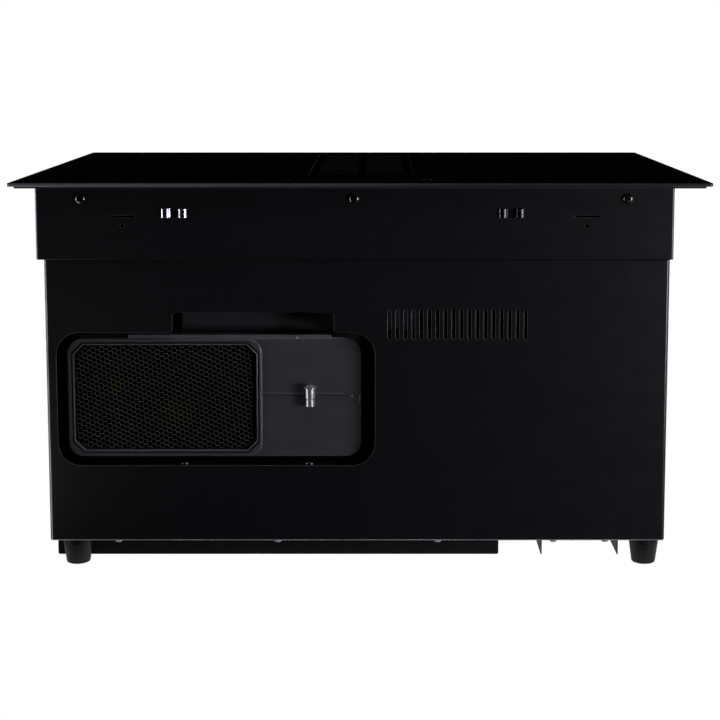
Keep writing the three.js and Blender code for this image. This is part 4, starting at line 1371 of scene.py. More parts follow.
@dataclass(frozen=True)
class LowerBody:
    """The sheets of the lower body, with the outlet opening and the louvres.

    Args:
        sheet: thickness of the sheets.
        bend: outer radius of the level folds.
        upright: outer radius of the upright folds.
        edge: rounding of the painted cut edges.
        fold: depth of the folded sides.
        outlet_inset: distance from the left side to the opening.
        outlet: width of the opening.
        outlet_z: heights of the opening's lower and upper edge.
        corner: radius of the opening's corners.
        notch_x: places of the notch's sides from the opening's left edge.
        notch_top: height of the notch.
        notch_corner: radius of its upper corners.
        notch_foot: radius where its sides meet the opening.
        louvres: number of louvre slots.
        louvre_start: distance from the opening to the first slot.
        louvre_pitch: distance between slots.
        louvre_width: width of a slot.
        louvre_z: heights of the slots' ends.
        base_head: how much larger in radius, taller and further to the front than its node a base screw's
            head is.
        sunk: how far a base screw's head sits in the fold.
        trim_inset: distance of the trim screws from the sheet's lower and upper edge.
    """

    sheet: float = 0.001
    bend: float = 0.0014
    upright: float = 0.0038
    edge: float = 0.00045
    fold: float = 0.014
    outlet_inset: float = 0.0118
    outlet: float = 0.356
    outlet_z: Point = (0.1171, 0.2688)
    corner: float = 0.0265
    notch_x: Point = (0.1302, 0.31)
    notch_top: float = 0.2918
    notch_corner: float = 0.006
    notch_foot: float = 0.004
    louvres: int = 18
    louvre_start: float = 0.016
    louvre_pitch: float = 0.00894
    louvre_width: float = 0.0035
    louvre_z: Point = (0.261, 0.2946)
    base_head: Triple = (0.0004, 0.0015, 0.001)
    sunk: float = 0.0003
    trim_inset: float = 0.03

    def build(self, bench: Bench) -> None:
        """Builds the front, the back, the sides and the fasteners.

        Args:
            bench: the bench.
        """
        self.front(bench)
        rear = self.folded("rear_panel", BACK)
        bench.place(rear, "rear_sheet", [PAINT], stands_for=["rear_panel"], wall=self.sheet, edge=self.edge)
        for side in ("left", "right"):
            bench.soften(f"side_panel_{side}", PAINT, self.edge / 2)
        bench.dress(PAINT, "base_plate")
        bench.dress(ZINC, "divider_wall")
        self.base_screws(bench)
        self.trim_screws(bench)

    def folded(self, node: str, away: Vector) -> Form:
        """Starts a folded sheet: a face with its four sides turned back, the lower one furthest.

        Args:
            node: the sheet's node.
            away: direction that the face looks in.

        Returns:
            The form.
        """
        low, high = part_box(node)
        form = Form()
        first, last = low.copy(), high.copy()
        if away.y < 0:
            rim = last.y = low.y + self.fold
        else:
            rim = first.y = high.y - self.fold
        form.open_box(first, last, -away, self.bend, self.upright)
        lip = [
            e for e in form.bm.edges
            if all(abs(v.co.z - low.z) < 1e-6 and abs(v.co.y - rim) < 1e-6 for v in e.verts)
        ]
        form.pull(lip, 1.0, -away * (high.y - low.y - self.fold))
        form.bm.normal_update()
        for face in form.bm.faces:
            if face.normal.z > 0.9 and face.calc_center_median().z < low.z + NEAR:
                face.normal_flip()
        return form

    def outline(self, left: float) -> list[Point]:
        """Outlines the opening with its notch.

        Args:
            left: X of the panel's left side.

        Returns:
            The outline's points.
        """
        x0 = left + self.outlet_inset
        x1 = x0 + self.outlet
        z0, z1 = self.outlet_z
        n0, n1 = x0 + self.notch_x[0], x0 + self.notch_x[1]
        r, top, c, f = self.corner, self.notch_top, self.notch_corner, self.notch_foot
        return [
            *arc((x0 + r, z0 + r), r, 180, 270, 14),
            *arc((x1 - r, z0 + r), r, 270, 360, 14),
            *arc((x1 - r, z1 - r), r, 0, 90, 14),
            *arc((n1 + f, z1 + f), f, 270, 180, 5),
            *arc((n1 - c, top - c), c, 0, 90, 6),
            *arc((n0 + c, top - c), c, 90, 180, 6),
            *arc((n0 - f, z1 + f), f, 0, -90, 5),
            *arc((x0 + r, z1 - r), r, 90, 180, 14),
        ]

    def front(self, bench: Bench) -> None:
        """Builds the front sheet.

        Args:
            bench: the bench.
        """
        low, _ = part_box("front_panel")
        form = self.folded("front_panel", FRONT)
        holes = [on_front(self.outline(low.x), low.y)]
        first = low.x + self.outlet_inset + self.outlet + self.louvre_start
        half = self.louvre_width / 2
        z0, z1 = self.louvre_z
        for index in range(self.louvres):
            x = first + index * self.louvre_pitch
            slot = [*arc((x, z0 + half), half, 180, 360, 8), *arc((x, z1 - half), half, 0, 180, 8)]
            holes.append(on_front(slot, low.y))
        form.pierce(form.flat(FRONT), holes)
        # painted highlight: the bottom fold and the left bend's strip get the near-white coat, the cut edges
        # the paler one
        for face in form.bm.faces:
            under = face.normal.y < -0.1 and face.normal.z < -0.1
            face.material_index = 2 if under or in_left_bend_highlight(face) else 0
        bench.place(
            form, "front_sheet", [PAINT, EDGE_HIGHLIGHT_PAINT, BEND_HIGHLIGHT_PAINT], stands_for=["front_panel"],
            wall=self.sheet, edge=self.edge, edge_finish=1,
        )

    def base_screws(self, bench: Bench) -> None:
        """Builds the screws that hold the base plate.

        Args:
            bench: the bench.
        """
        wider, taller, nearer = self.base_head
        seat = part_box("front_panel")[0].z - self.sunk
        for index in range(1, 6):
            node = f"base_screw_{index}"
            middle = middle_of(node)
            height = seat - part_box(node)[0].z + taller
            head = PanHeadScrew(half_width(node) + wider, height, shank=0.0016, length=0.006)
            place = facing(DOWN, (middle.x, middle.y - nearer, seat), 31 * index)
            # painted glint: the heads take the pale steel so that they show as bright glints
            head.stand_for(bench, node, GLINT_STEEL, place)

    def trim_screws(self, bench: Bench) -> None:
        """Builds the small screws along the back and along its folded sides.

        Args:
            bench: the bench.
        """
        low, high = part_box("front_panel")[0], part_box("rear_panel")[1]
        form = Form()
        head = PanHeadScrew(radius=0.0038, height=0.0021, shank=0.0014, length=0.002, steps=16)
        inset = self.fold / 2
        levels = (low.z + self.trim_inset, (low.z + high.z) / 2, high.z - self.trim_inset)
        for z in levels:
            head.add(form, facing(LEFT, (low.x, high.y - inset, z), 20 + 400 * z))
            head.add(form, facing(RIGHT, (high.x, high.y - inset, z), 50 + 300 * z))
        for x in (low.x + inset, (low.x + high.x) / 2, high.x - inset):
            for z in (levels[0], levels[2]):
                head.add(form, facing(BACK, (x, high.y, z), 70 + 200 * x))
        bench.place(form, "trim_screws", [SCREW_STEEL])


@dataclass(frozen=True)
class BlowerHousing:
    """The two half shells of the blower, with the collar, the seam and the clamp pin.

    Args:
        edge: rounding of the shells' edges.
        bead: rounding of the collar's outer edge.
        lip: rounding of the collar's window.
        collar_rise: how far the collar stands out from the plain face.
        seam_x: distances from the window to the seam band's start and from the housing's end to its end.
        seam_band: height of the raised band over the seam.
        seam_rise: how far that band stands out.
        seam_line: height of the dark line under that band, a painted shadow of the seam.
        seam_reach: how near to the seam both ends of an edge lie for the edge to be the seam's own.
        flange: start, end and height of each part of the lip on the housing's upper edge, which has a painted
            highlight.
        flange_sheet: thickness of that lip.
        clips: X and Z ranges of the bright blocks that stand as painted glints, the latter from the seam.
        rim: width of the raised rim round the window.
        rim_rise: how far the rim stands out.
        rim_gap: gap between the window and the rim.
        rim_root: how far the rim and the dark ring reach into the collar's face.
        groove_shade_width: width of the dark ring round the rim, the painted shade of a groove.
        groove_shade_rise: how far that dark ring stands before the collar's face.
        cut: size of the window's cut corners.
        cut_growth: how much larger a cut corner is, as a share of its distance from the window.
        pin_wider: how much larger in radius than its node the clamp pin is.
        pin_shares: radii of the pin's shank, neck and dome, as shares of its flange's.
        pin_step: height of the pin's step, as a share of the pin's.
        pin_seat: depth of the pin's flange below its top.
        pin_dome: height of the flange, and of the dome on it.
    """

    edge: float = 0.0006
    bead: float = 0.0021
    lip: float = 0.0011
    collar_rise: float = 0.0025
    seam_x: Point = (0.0065, 0.02)
    seam_band: float = 0.0034
    seam_rise: float = 0.0005
    seam_line: float = 0.0005
    seam_reach: float = 0.0006
    flange: tuple[Triple, ...] = ((-0.262, -0.0335, 0.0042), (-0.0335, -0.018, 0.0014))
    flange_sheet: float = 0.0016
    clips: tuple[tuple[Point, Point], ...] = (
        ((-0.0108, -0.0086), (-0.0004, 0.0003)), ((-0.0017, -0.0002), (-0.0006, 0.0004)),
        ((-0.0013, -0.0007), (-0.0072, -0.001)), ((-0.0722, -0.0704), (0.0655, 0.0676)),
    )
    rim: float = 0.0013
    rim_rise: float = 0.0006
    rim_gap: float = 0.0002
    rim_root: float = 0.0003
    groove_shade_width: float = 0.0018
    groove_shade_rise: float = 0.00006
    cut: float = 0.011
    cut_growth: float = 0.4
    pin_wider: float = 0.0006
    pin_shares: Triple = (0.74, 0.68, 0.62)
    pin_step: float = 0.37
    pin_seat: float = 0.0042
    pin_dome: float = 0.0021

    def build(self, bench: Bench) -> None:
        """Builds the shells, the window's rim, the seam and the pin.

        Args:
            bench: the bench.
        """
        for half in ("upper", "lower"):
            self.shell(bench, f"volute_{half}_shell")
        self.window_rim(bench)
        self.seam(bench)
        self.pin(bench)

    def face_edges(self, form: Form, y: float) -> list[BMEdge]:
        """Returns the sharp edges in the plane at y, without those along the seam."""
        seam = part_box("volute_upper_shell")[0].z
        return [
            e for e in form.sharp(SHARP)
            if all(abs(v.co.y - y) < NEAR for v in e.verts)
            and not all(abs(v.co.z - seam) < self.seam_reach for v in e.verts)
        ]

    def shell(self, bench: Bench, node: str) -> None:
        """Builds one half shell with rounded collar edges.

        Args:
            bench: the bench.
            node: the shell's node.
        """
        form, y = bench.recast(node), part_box(node)[0].y
        low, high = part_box("carbon_filter")

        def within(edge: BMEdge, axes: Sequence[int]) -> bool:
            """Tells whether an edge lies within the window along some axes."""
            return all(low[a] - 0.001 < v.co[a] < high[a] + 0.001 for v in edge.verts for a in axes)

        form.bevel([e for e in self.face_edges(form, y) if not within(e, (0, 2))], self.bead, 4)
        form.bevel([e for e in self.face_edges(form, y) if within(e, (0,))], self.lip, 3)
        # painted highlight: the rounded faces of the collar's bead and lip take the paler plastic
        for face in form.bm.faces:
            near = face.calc_center_median().y < y + self.bead
            face.material_index = 1 if near and 0.15 < -face.normal.y < 0.97 else 0
        bench.place(
            form, f"{node}_skin", [HOUSING, HOUSING_HIGHLIGHT], stands_for=[node], edge=self.edge, edge_angle=48
        )

    def window_rim(self, bench: Bench) -> None:
        """Builds the raised rim round the window, with a painted highlight, and a dark ring outside it that
        paints a groove's shade.

        Args:
            bench: the bench.
        """
        low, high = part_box("carbon_filter")
        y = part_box("volute_upper_shell")[0].y
        start = self.rim_gap
        middle = start + self.rim
        # painted highlight on the rim, painted shade in the dark ring round it
        for name, finish, reaches, rise in (
            ("window_rim", HOUSING_HIGHLIGHT, (start, middle), self.rim_rise),
            ("window_groove", STAND_PAINT, (middle, middle + self.groove_shade_width), self.groove_shade_rise),
        ):
            form = Form()
            loops = []
            for reach in reaches:
                first, last = (low.x - reach, low.z - reach), (high.x + reach, high.z + reach)
                outline = rounded(first, last, self.cut + self.cut_growth * reach, 1)
                loops += form.path(on_front(outline, y - rise))
            ops.bridge_loops(form.bm, edges=loops)
            form.bm.normal_update()
            for flat in form.bm.faces:
                if flat.normal.y > 0:
                    flat.normal_flip()
            bench.place(form, name, [finish], wall=rise + self.rim_root)

    def seam(self, bench: Bench) -> None:
        """Builds the band, the painted shadow line and the glint blocks along the seam, and the lip with a
        painted highlight on the upper edge.

        Args:
            bench: the bench.
        """
        low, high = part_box("volute_upper_shell")
        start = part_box("carbon_filter")[1].x + self.seam_x[0]
        end = high.x - self.seam_x[1]
        y, z = low.y + self.collar_rise, low.z
        lip_y = (y + 0.0008, y + 0.0008 + self.flange_sheet)
        lips = [((x0, x1), lip_y, (high.z - 0.0004, high.z + rise)) for x0, x1, rise in self.flange]
        clips = [(x, (y - 0.0005, y + 0.0003), (z + foot, z + top)) for x, (foot, top) in self.clips]
        band = [((start, end), (y - self.seam_rise, y + 0.0006), (z + 0.0002, z + self.seam_band))]
        line = [((start, high.x - 0.0012), (y - 0.00005, y + 0.0004), (z - self.seam_line, z + 0.0001))]
        # painted shadow: the dark line under the band; painted glints: the pale steel blocks; painted
        # highlight: the paler lip
        for name, finish, edge, blocks in (
            ("seam_band", HOUSING, 0.0004, band), ("housing_flange", HOUSING_HIGHLIGHT, 0.0006, lips),
            ("seam_clips", GLINT_STEEL, 0.0001, clips), ("seam_line", DARK_PLASTIC, 0.0, line),
        ):
            form = Form()
            for ranges in blocks:
                form.block(*zip(*ranges))
            bench.place(form, name, [finish], edge=edge)

    def pin(self, bench: Bench) -> None:
        """Builds the clamp pin.

        Args:
            bench: the bench.
        """
        low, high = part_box("clamp_pin")
        middle = middle_of("clamp_pin")
        flange = half_width("clamp_pin") + self.pin_wider
        shank, neck, dome = (flange * share for share in self.pin_shares)
        height = high.z - low.z
        step, seat = height * self.pin_step, height - self.pin_seat
        top = seat + self.pin_dome
        profile = [
            (0, 0), (neck - 0.0006, 0), (neck, 0.0006), (neck, step - 0.0008), (neck - 0.0005, step - 0.0004),
            (neck - 0.0005, step), (shank - 0.0003, step + 0.0003), (shank, step + 0.0009),
            (shank, seat - 0.0003), (shank + 0.0003, seat), (flange - 0.0004, seat + 0.0001),
            (flange, seat + 0.0005), (flange, seat + 0.001), (flange - 0.0007, seat + 0.0016),
            (dome + 0.0004, seat + 0.0019), (dome, top),
            *[(dome * r, top + self.pin_dome * h) for r, h in arc((0, 0), 1.0, 12, 90, 7)],
        ]
        form = Form()
        form.lathe(profile, Matrix.Translation((middle.x, middle.y, low.z)), 48)
        bench.place(form, "clamp_pin_turned", [PIN_STEEL], stands_for=["clamp_pin"])


@dataclass(frozen=True)
class OutletFilter:
    """The honeycomb of carbon in the collar.

    Args:
        pitch: distance between the cells' middles.
        web: thickness of the walls between cells.
        depth: depth of a cell down to its granules.
        lean: angle of the cell rows, in degrees.
        frame: width of the frame round the honeycomb.
        right_gap: gap between the honeycomb and the frame's right side.
        corner: size of the cut corners.
        doublings: how often the cells are doubled along a row and across the rows.
    """

    pitch: float = 0.00552
    web: float = 0.00056
    depth: float = 0.011
    lean: float = -25.0
    frame: float = 0.0012
    right_gap: float = 0.0035
    corner: float = 0.011
    doublings: tuple[int, int] = (6, 5)

    def build(self, bench: Bench) -> None:
        """Builds the frame and the honeycomb.

        Args:
            bench: the bench.
        """
        low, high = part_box("carbon_filter")
        form = Form()
        outline = rounded((low.x, low.z), (high.x, high.z), self.corner, 1)
        face = form.bm.faces.new([form.bm.verts.new(p) for p in on_front(outline, low.y + self.frame)])
        form.bm.normal_update()
        if face.normal.y > 0:
            face.normal_flip()
            form.bm.normal_update()
        form.inset(face, self.frame)
        ops.translate(form.bm, vec=(0, self.depth + 0.002, 0), verts=face.verts)
        rim = [e for e in form.bm.edges if len(e.link_faces) == 1]
        back = form.pull(rim, 1.0, BACK * (high.y - low.y - self.frame))
        ops.contextual_create(form.bm, geom=back)
        ops.recalc_face_normals(form.bm, faces=form.bm.faces)
        bench.place(form, "filter_frame", [DARK_PLASTIC], Body.OUTLET_FILTER, edge=0.0002)
        self.honeycomb(bench, low, high)

    def cell(self, form: Form) -> None:
        """Adds one cell at the origin, looking up, with its granules at the bottom and painted shade on its
        inner walls and on two of its wall tops.

        Args:
            form: the form.
        """
        face = form.disc(self.pitch / math.sqrt(3), 6)
        form.inset(face, self.web / 2)
        (floor,) = ops.extrude_discrete_faces(form.bm, faces=[face])["faces"]
        ops.translate(form.bm, vec=DOWN * self.depth, verts=floor.verts)
        form.bm.normal_update()
        for wall in form.bm.faces:
            middle = wall.calc_center_median()
            # painted shade: the inner walls take the granules' near-black; the floor is the granule bed
            if wall.normal.z < 0.9 or middle.z < -NEAR:
                wall.material_index = 2
            # painted shade: the wall tops on the cell's X axis take the darker wall finish
            elif abs(middle.y) < NEAR:
                wall.material_index = 1

    def honeycomb(self, bench: Bench, low: Vector, high: Vector) -> None:
        """Fills the frame with cells.

        Args:
            bench: the bench.
            low: lowest corner of the filter.
            high: highest corner of the filter.
        """
        form = Form()
        self.cell(form)
        row = self.pitch * math.sqrt(3) / 2
        form.repeat(Vector((self.pitch / 2, row, 0)), 1)
        form.repeat(RIGHT * self.pitch, self.doublings[0])
        form.repeat(BACK * 2 * row, self.doublings[1])
        ops.remove_doubles(form.bm, verts=form.bm.verts, dist=1e-6)
        middle = Vector((self.pitch * 2 ** (self.doublings[0] - 1), row * 2 ** self.doublings[1], 0))
        ops.translate(form.bm, vec=-middle, verts=form.bm.verts)
        centre = (low + high) / 2
        place = Matrix.Translation((centre.x, low.y + self.frame, centre.z))
        upright, spin = Matrix.Rotation(math.pi / 2, 4, "X"), Matrix.Rotation(math.radians(self.lean), 4, "Z")
        ops.transform(form.bm, matrix=place @ upright @ spin, verts=form.bm.verts)
        inset = self.frame + 0.0001
        x0, x1, x2 = low.x + inset, high.x - inset - self.right_gap, high.x - inset
        z0, z1 = low.z + inset, high.z - inset
        for point, normal in (
            ((x0, 0, z0), LEFT), ((x1, 0, z1), RIGHT), ((x0, 0, z0), DOWN), ((x1, 0, z1), UP),
        ):
            form.trim(point, normal)
        for x, side in ((x0, 1), (x2, -1)):
            for z, rise in ((z0, 1), (z1, -1)):
                form.trim((x + side * self.corner, 0, z), Vector((-side, 0, -rise)))
        finishes = [HONEYCOMB, HONEYCOMB_SHADED_WALL, GRANULES_AND_CELL_SHADE]
        bench.place(form, "filter_honeycomb", finishes, Body.OUTLET_FILTER, ["carbon_filter"])


@dataclass(frozen=True)
class BlowerDrive:
    """The wheel, the shaft, the motor and the stand inside the body.

    Args:
        edge: rounding of the stand's sheet.
        sunk: how far a lip screw's head sits over the stand.
        head_gap: how much smaller than its node a lip screw's head is in radius.
    """

    edge: float = 0.0004
    sunk: float = 0.0003
    head_gap: float = 0.0001

    def build(self, bench: Bench) -> None:
        """Dresses the drive and builds the two screws at the opening's lip.

        Args:
            bench: the bench.
        """
        bench.soften("impeller", DARK_PLASTIC, 0.0003, Body.BLOWER_ROTOR)
        bench.dress(ZINC, "drive_shaft")
        bench.dress(MOTOR_COAT, "motor_body")
        bench.soften("blower_stand", STAND_PAINT, self.edge)
        bench.dress(CIRCUIT, "blower_driver_board")
        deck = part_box("blower_stand")[1].z
        for index in (1, 2):
            node = f"lip_screw_{index}"
            middle, height = middle_of(node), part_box(node)[1].z - deck - self.sunk - self.head_gap
            head = PanHeadScrew(half_width(node) - self.head_gap, height, shank=0.0019, length=0.006)
            place = facing(UP, (middle.x, middle.y, deck + self.sunk), 25 * index)
            head.stand_for(bench, node, LIP_SCREW_STEEL, place)


@dataclass(frozen=True)
class Underside:
    """The drip pan, the cable guard, the gland and the feet.

    Args:
        pan_sheet: thickness of the pan's sheet.
        pan_bend: outer radius of its folds.
        foot_ring: height of the plain ring at a foot's top.
        foot_taper: share of a foot's radius that is left at its bottom.
        foot_round: rounding at a foot's bottom.
        foot_hollow: depth of the hollow under a foot.
        foot_steps: sides of a foot.
    """

    pan_sheet: float = 0.001
    pan_bend: float = 0.0022
    foot_ring: float = 0.006
    foot_taper: float = 0.82
    foot_round: float = 0.0016
    foot_hollow: float = 0.004
    foot_steps: int = 56

    def build(self, bench: Bench) -> None:
        """Builds what lies under the body.

        Args:
            bench: the bench.
        """
        form = Form()
        form.open_box(*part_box("sump_pan"), UP, self.pan_bend, self.pan_bend)
        bench.place(
            form, "pressed_pan", [PAN_PAINT], stands_for=["sump_pan"], wall=self.pan_sheet, edge=0.0003
        )
        bench.soften("cable_guard", PAINT, 0.0003)
        bench.soften("cable_gland", DARK_PLASTIC, 0.0005)
        bench.soften("terminal_block", DARK_PLASTIC, 0.0006)
        for place in ("front", "back"):
            for side in ("left", "right"):
                self.foot(bench, f"foot_{place}_{side}")

    def foot(self, bench: Bench, node: str) -> None:
        """Builds one tapered foot with a hollow under it.

        Args:
            bench: the bench.
            node: the foot's node.
        """
        low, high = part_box(node)
        middle, top = middle_of(node), half_width(node)
        bottom = top * self.foot_taper
        height, r = high.z - low.z, self.foot_round
        collar = height - self.foot_ring
        slope = (top - bottom) / collar
        profile = [
            (0, self.foot_hollow), (bottom * 0.45, self.foot_hollow), (bottom * 0.5, 0), (bottom - r, 0),
            *arc((bottom - r, r), r, -80, 0, 5),
            (bottom + slope * (collar - 0.001), collar - 0.001),
            (top, collar + 0.0004), (top, height - 0.0006), (top - 0.0006, height), (0, height),
        ]
        form = Form()
        form.lathe(profile, Matrix.Translation((middle.x, middle.y, low.z)), self.foot_steps)
        bench.place(form, f"{node}_turned", [RUBBER], stands_for=[node])


@dataclass(frozen=True)
class Vent:
    """The grille, the grease filter, the throat and the plenum.

    Args:
        wire: thickness of the grease filter's wires.
        mesh: distance between wires.
        inset: width of the filter's plain rim.
        drop: depth of the wires under the filter's top.
        edge: rounding of the grille's edges.
    """

    wire: float = 0.0006
    mesh: float = 0.0042
    inset: float = 0.004
    drop: float = 0.003
    edge: float = 0.0006

    def build(self, bench: Bench) -> None:
        """Builds the grille and the filter, and dresses the rest.

        Args:
            bench: the bench.
        """
        bench.soften("vent_grille", GRILLE_COAT, self.edge, Body.GRILLE)
        bench.soften("grease_filter", ALUMINIUM, 0.0005, Body.CASSETTE)
        low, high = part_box("grease_filter")
        for name, axis, drop in (("long", 0, self.drop), ("cross", 1, self.drop + self.wire)):
            self.wires(bench, f"filter_wires_{name}", axis, high.z - drop, low, high)
        bench.dress(DARK_PLASTIC, "intake_throat")
        bench.soften("plenum_box", PLENUM_PLASTIC, 0.0008)

    def wires(self, bench: Bench, name: str, axis: int, top: float, low: Vector, high: Vector) -> None:
        """Lays one layer of parallel wires.

        Args:
            bench: the bench.
            name: the layer's name.
            axis: number of the axis along which the wires follow one another.
            top: height of the wires' top.
            low: lowest corner of the filter.
            high: highest corner of the filter.
        """
        first = Vector((low.x + self.inset, low.y + self.inset, top - self.wire))
        last = Vector((high.x - self.inset, high.y - self.inset, top))
        end = last.copy()
        end[axis] = first[axis] + self.wire
        way = (RIGHT, BACK)[axis]
        form = Form()
        form.block(first, end)
        form.repeat(way * self.mesh, int((last[axis] - first[axis]) / self.mesh).bit_length())
        form.trim(last, way)
        bench.place(form, name, [ALUMINIUM], Body.CASSETTE)


@dataclass(frozen=True)
class HeatingDeck:
    """The coils, their plates, the electronics and the cooling fan."""

    def build(self, bench: Bench) -> None:
        """Dresses everything under the glass.

        Args:
            bench: the bench.
        """
        bench.dress(ALUMINIUM, "coil_plate_left", "coil_plate_right", "heat_sink_left", "heat_sink_right")
        bench.dress(CIRCUIT, "control_board", "power_board_left", "power_board_right")
        bench.dress(DARK_PLASTIC, "control_carrier")
        for place in ("left_front", "left_back", "right_front", "right_back"):
            middle = middle_of(f"coil_{place}")
            winding = CopperWinding(
                f"winding_{place}", Slot.COPPER, (0.42, 0.2, 0.1), 0.4, metallic=0.8, grain_depth=0.0006,
                middle=(middle.x, middle.y),
            )
            bench.dress(winding, f"coil_{place}")
        bench.soften("cooling_fan_frame", DARK_PLASTIC, 0.0008)
        bench.soften("cooling_fan_rotor", DARK_PLASTIC, 0.0003, Body.FAN_ROTOR)


# -------------------------------------------------------------------------------------- studio


@dataclass(frozen=True)
class Softbox:
    """One flat studio light.

    Args:
        name: the light's name.
        place: where it stands.
        aim: the point that it looks at.
        size: width and height.
        power: radiant power, in watts.
        color: colour of the light.
    """

    name: str
    place: Triple
    aim: Triple
    size: Point
    power: float
    color: Color = (1.0, 0.955, 1.12)

    def hang(self, scene: Scene) -> None:
        """Hangs the light in the studio.

        Args:
            scene: the scene.
        """
        data = bpy.data.lights.new(self.name, "AREA")
        data.shape = "RECTANGLE"
        data.size, data.size_y = self.size
        data.energy = self.power
        data.color = self.color
        lamp = bpy.data.objects.new(self.name, data)
        scene.collection.objects.link(lamp)
        lamp.location = self.place
        lamp.rotation_euler = (Vector(self.aim) - Vector(self.place)).to_track_quat("-Z", "Y").to_euler()


@dataclass(frozen=True)
class Glow:
    """A part of the floor that throws light on the object.

    Args:
        middle: X and Y of its middle.
        half: half its width and depth.
        fade: width of the band round it in which it fades.
        power: its brightness.
    """

    middle: Point
    half: Point
    fade: float
    power: float

    def strength(self, board: NodeBoard) -> NodeSocket:
        """Gives the glow's brightness at each place of the floor.

        Args:
            board: the floor's board.

        Returns:
            The brightness socket.
        """
        socket = board.place
        for operation, second in (
            ("SUBTRACT", (*self.middle, 0)), ("ABSOLUTE", (0, 0, 0)), ("SUBTRACT", (*self.half, 0)),
            ("MAXIMUM", (0, 0, 0)), ("LENGTH", (0, 0, 0)),
        ):
            made = board.node("VectorMath", {0: socket, 1: second}, operation=operation)
            socket = made.outputs["Value" if operation == "LENGTH" else "Vector"]
        return board.spread(socket, self.power, 0.0, 0.0, self.fade)


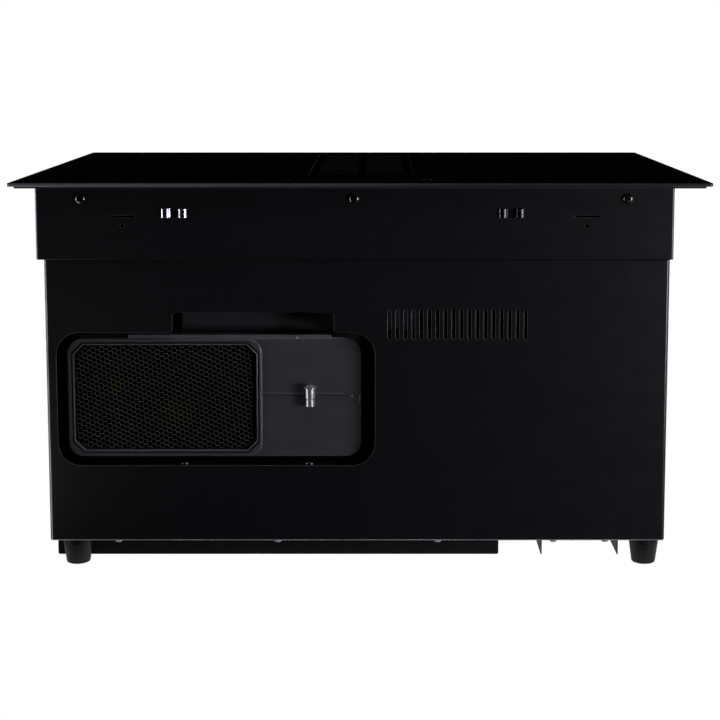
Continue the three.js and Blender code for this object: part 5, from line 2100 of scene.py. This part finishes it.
@dataclass(frozen=True)
class Studio:
    """A pale studio with soft lights and the camera in front.

    Args:
        camera: where the camera stands.
        pitch: how far it looks down, in degrees.
        lens: focal length, in millimetres.
        shift: shift of the lens to the right and up.
        backdrop: brightness of the backdrop.
        surround: brightness of the dark surround that the gloss mirrors.
        lights: the studio's lights.
        glows: the parts of the floor that throw light on the object.
        floor_size: half the side of the floor.
        floor_drop: how far the floor lies under the feet.
    """

    camera: Triple = (0.0188, -1.9401, 0.5806)
    pitch: float = 6.5892
    lens: float = 77.598
    shift: Point = (-0.024, -0.18)
    backdrop: float = 1.0
    surround: float = 0.0001
    lights: tuple[Softbox, ...] = (
        Softbox("left_strip", (-1.5, -0.62, 0.35), (-0.35, -0.24, 0.25), (0.3, 1.3), 3.0),
        Softbox("left_rim", (-2.2, -0.27, 0.08), (-0.35, -0.24, 0.2), (0.3, 0.66), 12.0),
        Softbox("right_near", (1.6, -1.2, 0.29), (0.2, -0.24, 0.25), (0.6, 0.66), 11.4),
        Softbox("right_low", (1.3, -1.3, 0.12), (0.34, -0.24, 0.1), (0.5, 0.2), 5.0),
        Softbox("front_top", (0.1, -1.5, 2.4), (0.0, -0.24, 0.25), (1.2, 0.5), 5.0),
        Softbox("back_right_light", (2.4, 1.6, 0.5), (0.2, 0.2, 0.2), (0.8, 1.0), 24.0),
        Softbox("back_left_light", (-2.4, 1.6, 0.5), (-0.2, 0.2, 0.2), (0.8, 1.0), 24.0),
    )
    glows: tuple[Glow, ...] = (
        Glow((0.0, 0.0), (0.36, 0.22), 0.06, 0.22),
        Glow((-0.92, -0.37), (0.44, 0.11), 0.05, 3.0),
        Glow((1.15, 0.55), (0.6, 0.55), 0.3, 0.8),
        Glow((-1.15, 0.65), (0.6, 0.5), 0.3, 0.8),
        Glow((0.0, 1.3), (0.5, 0.7), 0.3, 0.8),
    )
    floor_size: float = 6.0
    floor_drop: float = 0.0002

    def build(self) -> None:
        """Sets the studio up."""
        scene = bpy.context.scene
        scene.view_settings.view_transform = "Standard"
        self.put_camera(scene)
        self.paint_world(scene)
        self.lay_floor(scene)
        for light in self.lights:
            light.hang(scene)

    def put_camera(self, scene: Scene) -> None:
        """Puts the camera where the photograph was taken from.

        Args:
            scene: the scene.
        """
        data = bpy.data.cameras.new("camera")
        data.lens = self.lens
        data.sensor_width = 36.0
        data.shift_x, data.shift_y = self.shift
        data.clip_start, data.clip_end = 0.05, 100.0
        camera = bpy.data.objects.new("camera", data)
        scene.collection.objects.link(camera)
        camera.location = self.camera
        camera.rotation_euler = (math.radians(90 - self.pitch), 0, 0)
        scene.camera = camera

    def two_faced(self, board: NodeBoard, kind: str, bounce: Mapping[str, object], output: str) -> None:
        """Makes a surface that shows the backdrop's white and throws another light.

        Args:
            board: the board of the world or the floor.
            kind: type of its light nodes.
            bounce: inputs of the light that it throws.
            output: type of the output node.
        """
        thrown = board.node(kind, bounce)
        shown = board.node(kind, {"Color": (self.backdrop,) * 3 + (1,)})
        ray = board.node("LightPath").outputs["Is Camera Ray"]
        mix = board.node("MixShader", {0: ray, 1: thrown.outputs[0], 2: shown.outputs[0]})
        board.node(output, {"Surface": mix.outputs["Shader"]})

    def paint_world(self, scene: Scene) -> None:
        """Makes the world white behind the object and dark where gloss would mirror it.

        Args:
            scene: the scene.
        """
        scene.world = bpy.data.worlds.new("studio")
        dark = {"Color": (self.surround,) * 3 + (1,)}
        self.two_faced(NodeBoard(scene.world), "Background", dark, "OutputWorld")

    def lay_floor(self, scene: Scene) -> None:
        """Lays the pale floor, which glows white and lights the object from below.

        Args:
            scene: the scene.
        """
        material = bpy.data.materials.new("studio_floor")
        board = NodeBoard(material)
        total = 0.0
        for glow in self.glows:
            total = board.node("Math", {0: total, 1: glow.strength(board)}).outputs["Value"]
        self.two_faced(board, "Emission", {"Strength": total}, "OutputMaterial")
        mesh = bpy.data.meshes.new("studio_floor")
        form = Form()
        ops.create_grid(form.bm, x_segments=1, y_segments=1, size=self.floor_size)
        form.bm.to_mesh(mesh)
        form.bm.free()
        mesh.materials.append(material)
        floor = bpy.data.objects.new("studio_floor", mesh)
        floor.location.z = -self.floor_drop
        scene.collection.objects.link(floor)


def main() -> None:
    """Builds the studio and every sub-assembly in order."""
    logging.basicConfig(level=logging.INFO, format="%(message)s", stream=sys.stdout)
    Studio().build()
    bench = Bench(frame["nodes"])
    for section in (
        GlassTop(), UpperCasing(), LowerBody(), BlowerHousing(), OutletFilter(), BlowerDrive(), Underside(),
        Vent(), HeatingDeck(),
    ):
        log.info("-- %s", type(section).__name__)
        section.build(bench)


if __name__ == "__main__":
    main()
